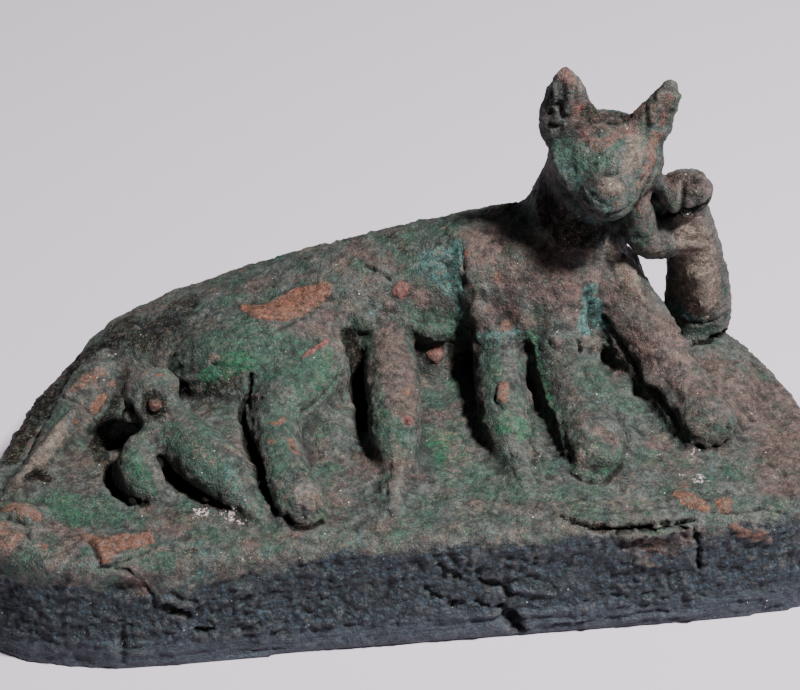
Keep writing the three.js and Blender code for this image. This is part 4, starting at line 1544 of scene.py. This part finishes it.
    def crust(self, bench: NodeBench, grains: Grains) -> bpy.types.NodeSocket:
        """The height of the fine grain: crumbs on the plinth's side, and level lines near its foot.

        Args:
            bench: The material's nodes.
            grains: The shared grains.

        Returns:
            The height in millimetres.
        """
        height = bench.math("MULTIPLY", grains.coarse, self.coarse_height)
        height = bench.math("MULTIPLY_ADD", grains.fine, self.fine_height, height)
        side = bench.attribute(Tint.CHARCOAL.value)
        foot = bench.shape(bench.attribute("foot"), self.line_span)
        crags = bench.math("SUBTRACT", side, foot, clamp=True)
        craggy = bench.math("MULTIPLY_ADD", crags, 1.0 - self.crumb_on_animals, self.crumb_on_animals)
        crumbs = bench.math("MULTIPLY", grains.crumbs, craggy)
        height = bench.math("MULTIPLY_ADD", crumbs, -self.crumb_height, height)
        lines = bench.math("MULTIPLY", bench.noise(self.lines), foot)
        return bench.math("MULTIPLY_ADD", lines, self.line_height, height)

    def lay(self, bench: NodeBench, layer: PatinaLayer, under: bpy.types.NodeSocket, order: int
            ) -> tuple[bpy.types.NodeSocket, bpy.types.NodeSocket]:
        """Lays one layer over what is there.

        Args:
            bench: The material's nodes.
            layer: The patina.
            under: The colour so far.
            order: The layer's number, which shifts its noise.

        Returns:
            The new colour, and the share of the surface that the layer covers.
        """
        shift, mottle_shift = (
            first + step * order for first, step in (self.layer_shift, self.layer_mottle_shift)
        )
        tear = bench.noise(Pattern(layer.grain, self.layer_detail, shift))
        noise = bench.math("SUBTRACT", tear, NOISE_MIDDLE)
        broken = bench.math("MULTIPLY_ADD", noise, layer.breakup, bench.attribute(layer.tint.value))
        share = bench.shape(broken, layer.cover)
        mottle_size = self.layer_mottle * layer.grain
        mottle = bench.noise(Pattern(mottle_size, self.layer_detail, mottle_shift, self.layer_mottle_rough))
        own = bench.blend(bench.shape(mottle, self.layer_span), linear(layer.dark), linear(layer.light))
        return bench.blend(share, under, own), share

    def grime(self, bench: NodeBench, colour: bpy.types.NodeSocket, grains: Grains) -> bpy.types.NodeSocket:
        """Darkens the cavities, wears the ridges pale and scatters specks.

        Args:
            bench: The material's nodes.
            colour: The patina's colour.
            grains: The shared grains.

        Returns:
            The finished colour.
        """
        colour = self.fleck(bench, colour)
        for pattern, tones in self.shades:
            shade = bench.shape(bench.noise(pattern), self.layer_span, tones)
            tone = bench.tree.nodes.new("ShaderNodeCombineColor")
            for socket in tone.inputs[:3]:
                bench.fill(socket, shade)
            colour = bench.blend(1.0, colour, tone.outputs[0], "MULTIPLY")
        cavity, foot = bench.attribute("cavity"), bench.attribute("foot")
        side, crystals = (bench.attribute(tint.value) for tint in (Tint.CHARCOAL, Tint.CRYSTAL))
        gaps = bench.math("MULTIPLY", bench.shape(grains.crumbs, self.gap_span), side)
        ridges = bench.shape(cavity, self.ridge_span)
        worn = bench.math("MULTIPLY", ridges, bench.shape(grains.fine, self.wear_span))
        pits = bench.shape(grains.coarse, self.pit_span)
        dust = bench.shape(grains.fine, self.dust_span, self.dust_full)
        clumps = bench.math("MULTIPLY_ADD", grains.coarse, self.clump_grain, crystals)
        for share, over in (
            (bench.math("MULTIPLY", pits, self.pit_dark), self.cavity_dark),
            (bench.math("MULTIPLY", gaps, self.gap_dark), self.cavity_dark),
            (bench.shape(cavity, self.cavity_span, self.cavity_full), self.cavity_dark),
            (bench.math("MULTIPLY", worn, self.wear_share), self.ridge_wear),
            (bench.math("MULTIPLY", foot, dust), self.foot_dust),
            (bench.shape(clumps, self.clump_span), self.crystal),
            (self.specks(bench, crystals), self.speck),
        ):
            colour = bench.blend(share, colour, linear(over))
        return colour

    def fleck(self, bench: NodeBench, colour: bpy.types.NodeSocket) -> bpy.types.NodeSocket:
        """Scatters the flecks, fewer of them on the plinth's side.

        Args:
            bench: The material's nodes.
            colour: The patina's colour.

        Returns:
            The flecked colour.
        """
        side = bench.attribute(Tint.CHARCOAL.value)
        room = bench.math("MULTIPLY_ADD", side, -self.fleck_loss_on_side, 1.0)
        for fleck in self.flecks:
            swarm_shift = fleck.shift + self.swarm_shift
            swarm = bench.noise(Pattern(fleck.swarm, self.swarm_detail, swarm_shift, self.swarm_rough))
            swarm = bench.shape(swarm, self.swarm_span, self.swarm_full)
            spots = bench.noise(Pattern(fleck.size, self.fleck_detail, fleck.shift))
            spots = bench.math("ADD", spots, swarm)
            share = bench.math("MULTIPLY", bench.shape(spots, self.fleck_span, (0.0, fleck.amount)), room)
            colour = bench.blend(share, colour, linear(fleck.colour))
        return colour

    def specks(self, bench: NodeBench, crystals: bpy.types.NodeSocket) -> bpy.types.NodeSocket:
        """Where the tiny pale grains are: a few everywhere, and more among the crystals."""
        cells = bench.cells(self.speck_size)
        luck = bench.tree.nodes.new("ShaderNodeSeparateColor")
        bench.fill(luck.inputs[0], cells.outputs["Color"])
        chance = bench.math("MULTIPLY_ADD", crystals, self.speck_chance_in_crystals, self.speck_chance)
        chosen = bench.math("LESS_THAN", luck.outputs[0], chance)
        reach = bench.math("MULTIPLY_ADD", luck.outputs[1], self.speck_reach_swing, self.speck_reach)
        inside = bench.math("LESS_THAN", cells.outputs["Distance"], reach)
        return bench.math("MULTIPLY", chosen, inside)


@dataclass(frozen=True)
class Studio:
    """A plain pale floor, one soft key light from the right and a low fill all round."""

    floor_half: float = 2.5
    floor_colour: Colour = (200, 190, 202)
    floor_roughness: float = 0.9
    key_from: tuple[float, float, float] = (0.425, -0.28, 0.86)
    key_distance: float = 0.6
    key_size: float = 0.085
    key_watts: float = 11.4
    key_colour: tuple[float, float, float] = (0.95, 0.94, 0.94)
    key_aim: tuple[float, float, float] = (0.0, 0.0, 0.025)
    fill_colour: tuple[float, float, float] = (0.86, 0.93, 1.0)
    fill_strength: float = 0.085

    def build(self) -> None:
        """Adds the floor, the key light and the world's fill."""
        self.lay_floor()
        self.hang_key()
        world = bpy.data.worlds.new("studio_fill")
        world.use_nodes = True
        sky = world.node_tree.nodes["Background"]
        sky.inputs["Color"].default_value = (*self.fill_colour, 1.0)
        sky.inputs["Strength"].default_value = self.fill_strength
        bpy.context.scene.world = world

    def lay_floor(self) -> None:
        """A wide flat floor at the height that the plinth stands on."""
        shape = bmesh.new()
        bmesh.ops.create_grid(shape, x_segments=1, y_segments=1, size=self.floor_half)
        mesh = bpy.data.meshes.new("studio_floor")
        shape.to_mesh(mesh)
        shape.free()
        floor = bpy.data.objects.new("studio_floor", mesh)
        bpy.context.scene.collection.objects.link(floor)
        paper = bpy.data.materials.new("pale_paper")
        paper.use_nodes = True
        shader = paper.node_tree.nodes["Principled BSDF"]
        shader.inputs["Base Color"].default_value = linear(self.floor_colour)
        shader.inputs["Roughness"].default_value = self.floor_roughness
        mesh.materials.append(paper)

    def hang_key(self) -> None:
        """A small square of light that casts the photograph's clear shadows."""
        data = bpy.data.lights.new("key_light", "AREA")
        data.energy = self.key_watts
        data.size = self.key_size
        data.color = self.key_colour
        key = bpy.data.objects.new("key_light", data)
        toward = Vector(self.key_from).normalized()
        key.location = toward * self.key_distance + Vector(self.key_aim)
        key.rotation_mode = "QUATERNION"
        key.rotation_quaternion = toward.to_track_quat("Z", "Y")
        bpy.context.scene.collection.objects.link(key)


def main() -> None:
    """Builds the camera, the studio and the statuette, and notes the sizes."""
    logging.basicConfig(level=logging.INFO, format="%(name)s: %(message)s")
    viewpoint = Viewpoint()
    viewpoint.build()
    Studio().build()
    piece = Casting(viewpoint).build(BronzeFinish())
    LOG.info("%s rides on %s", piece.name, BODY)


if __name__ == "__main__":
    main()
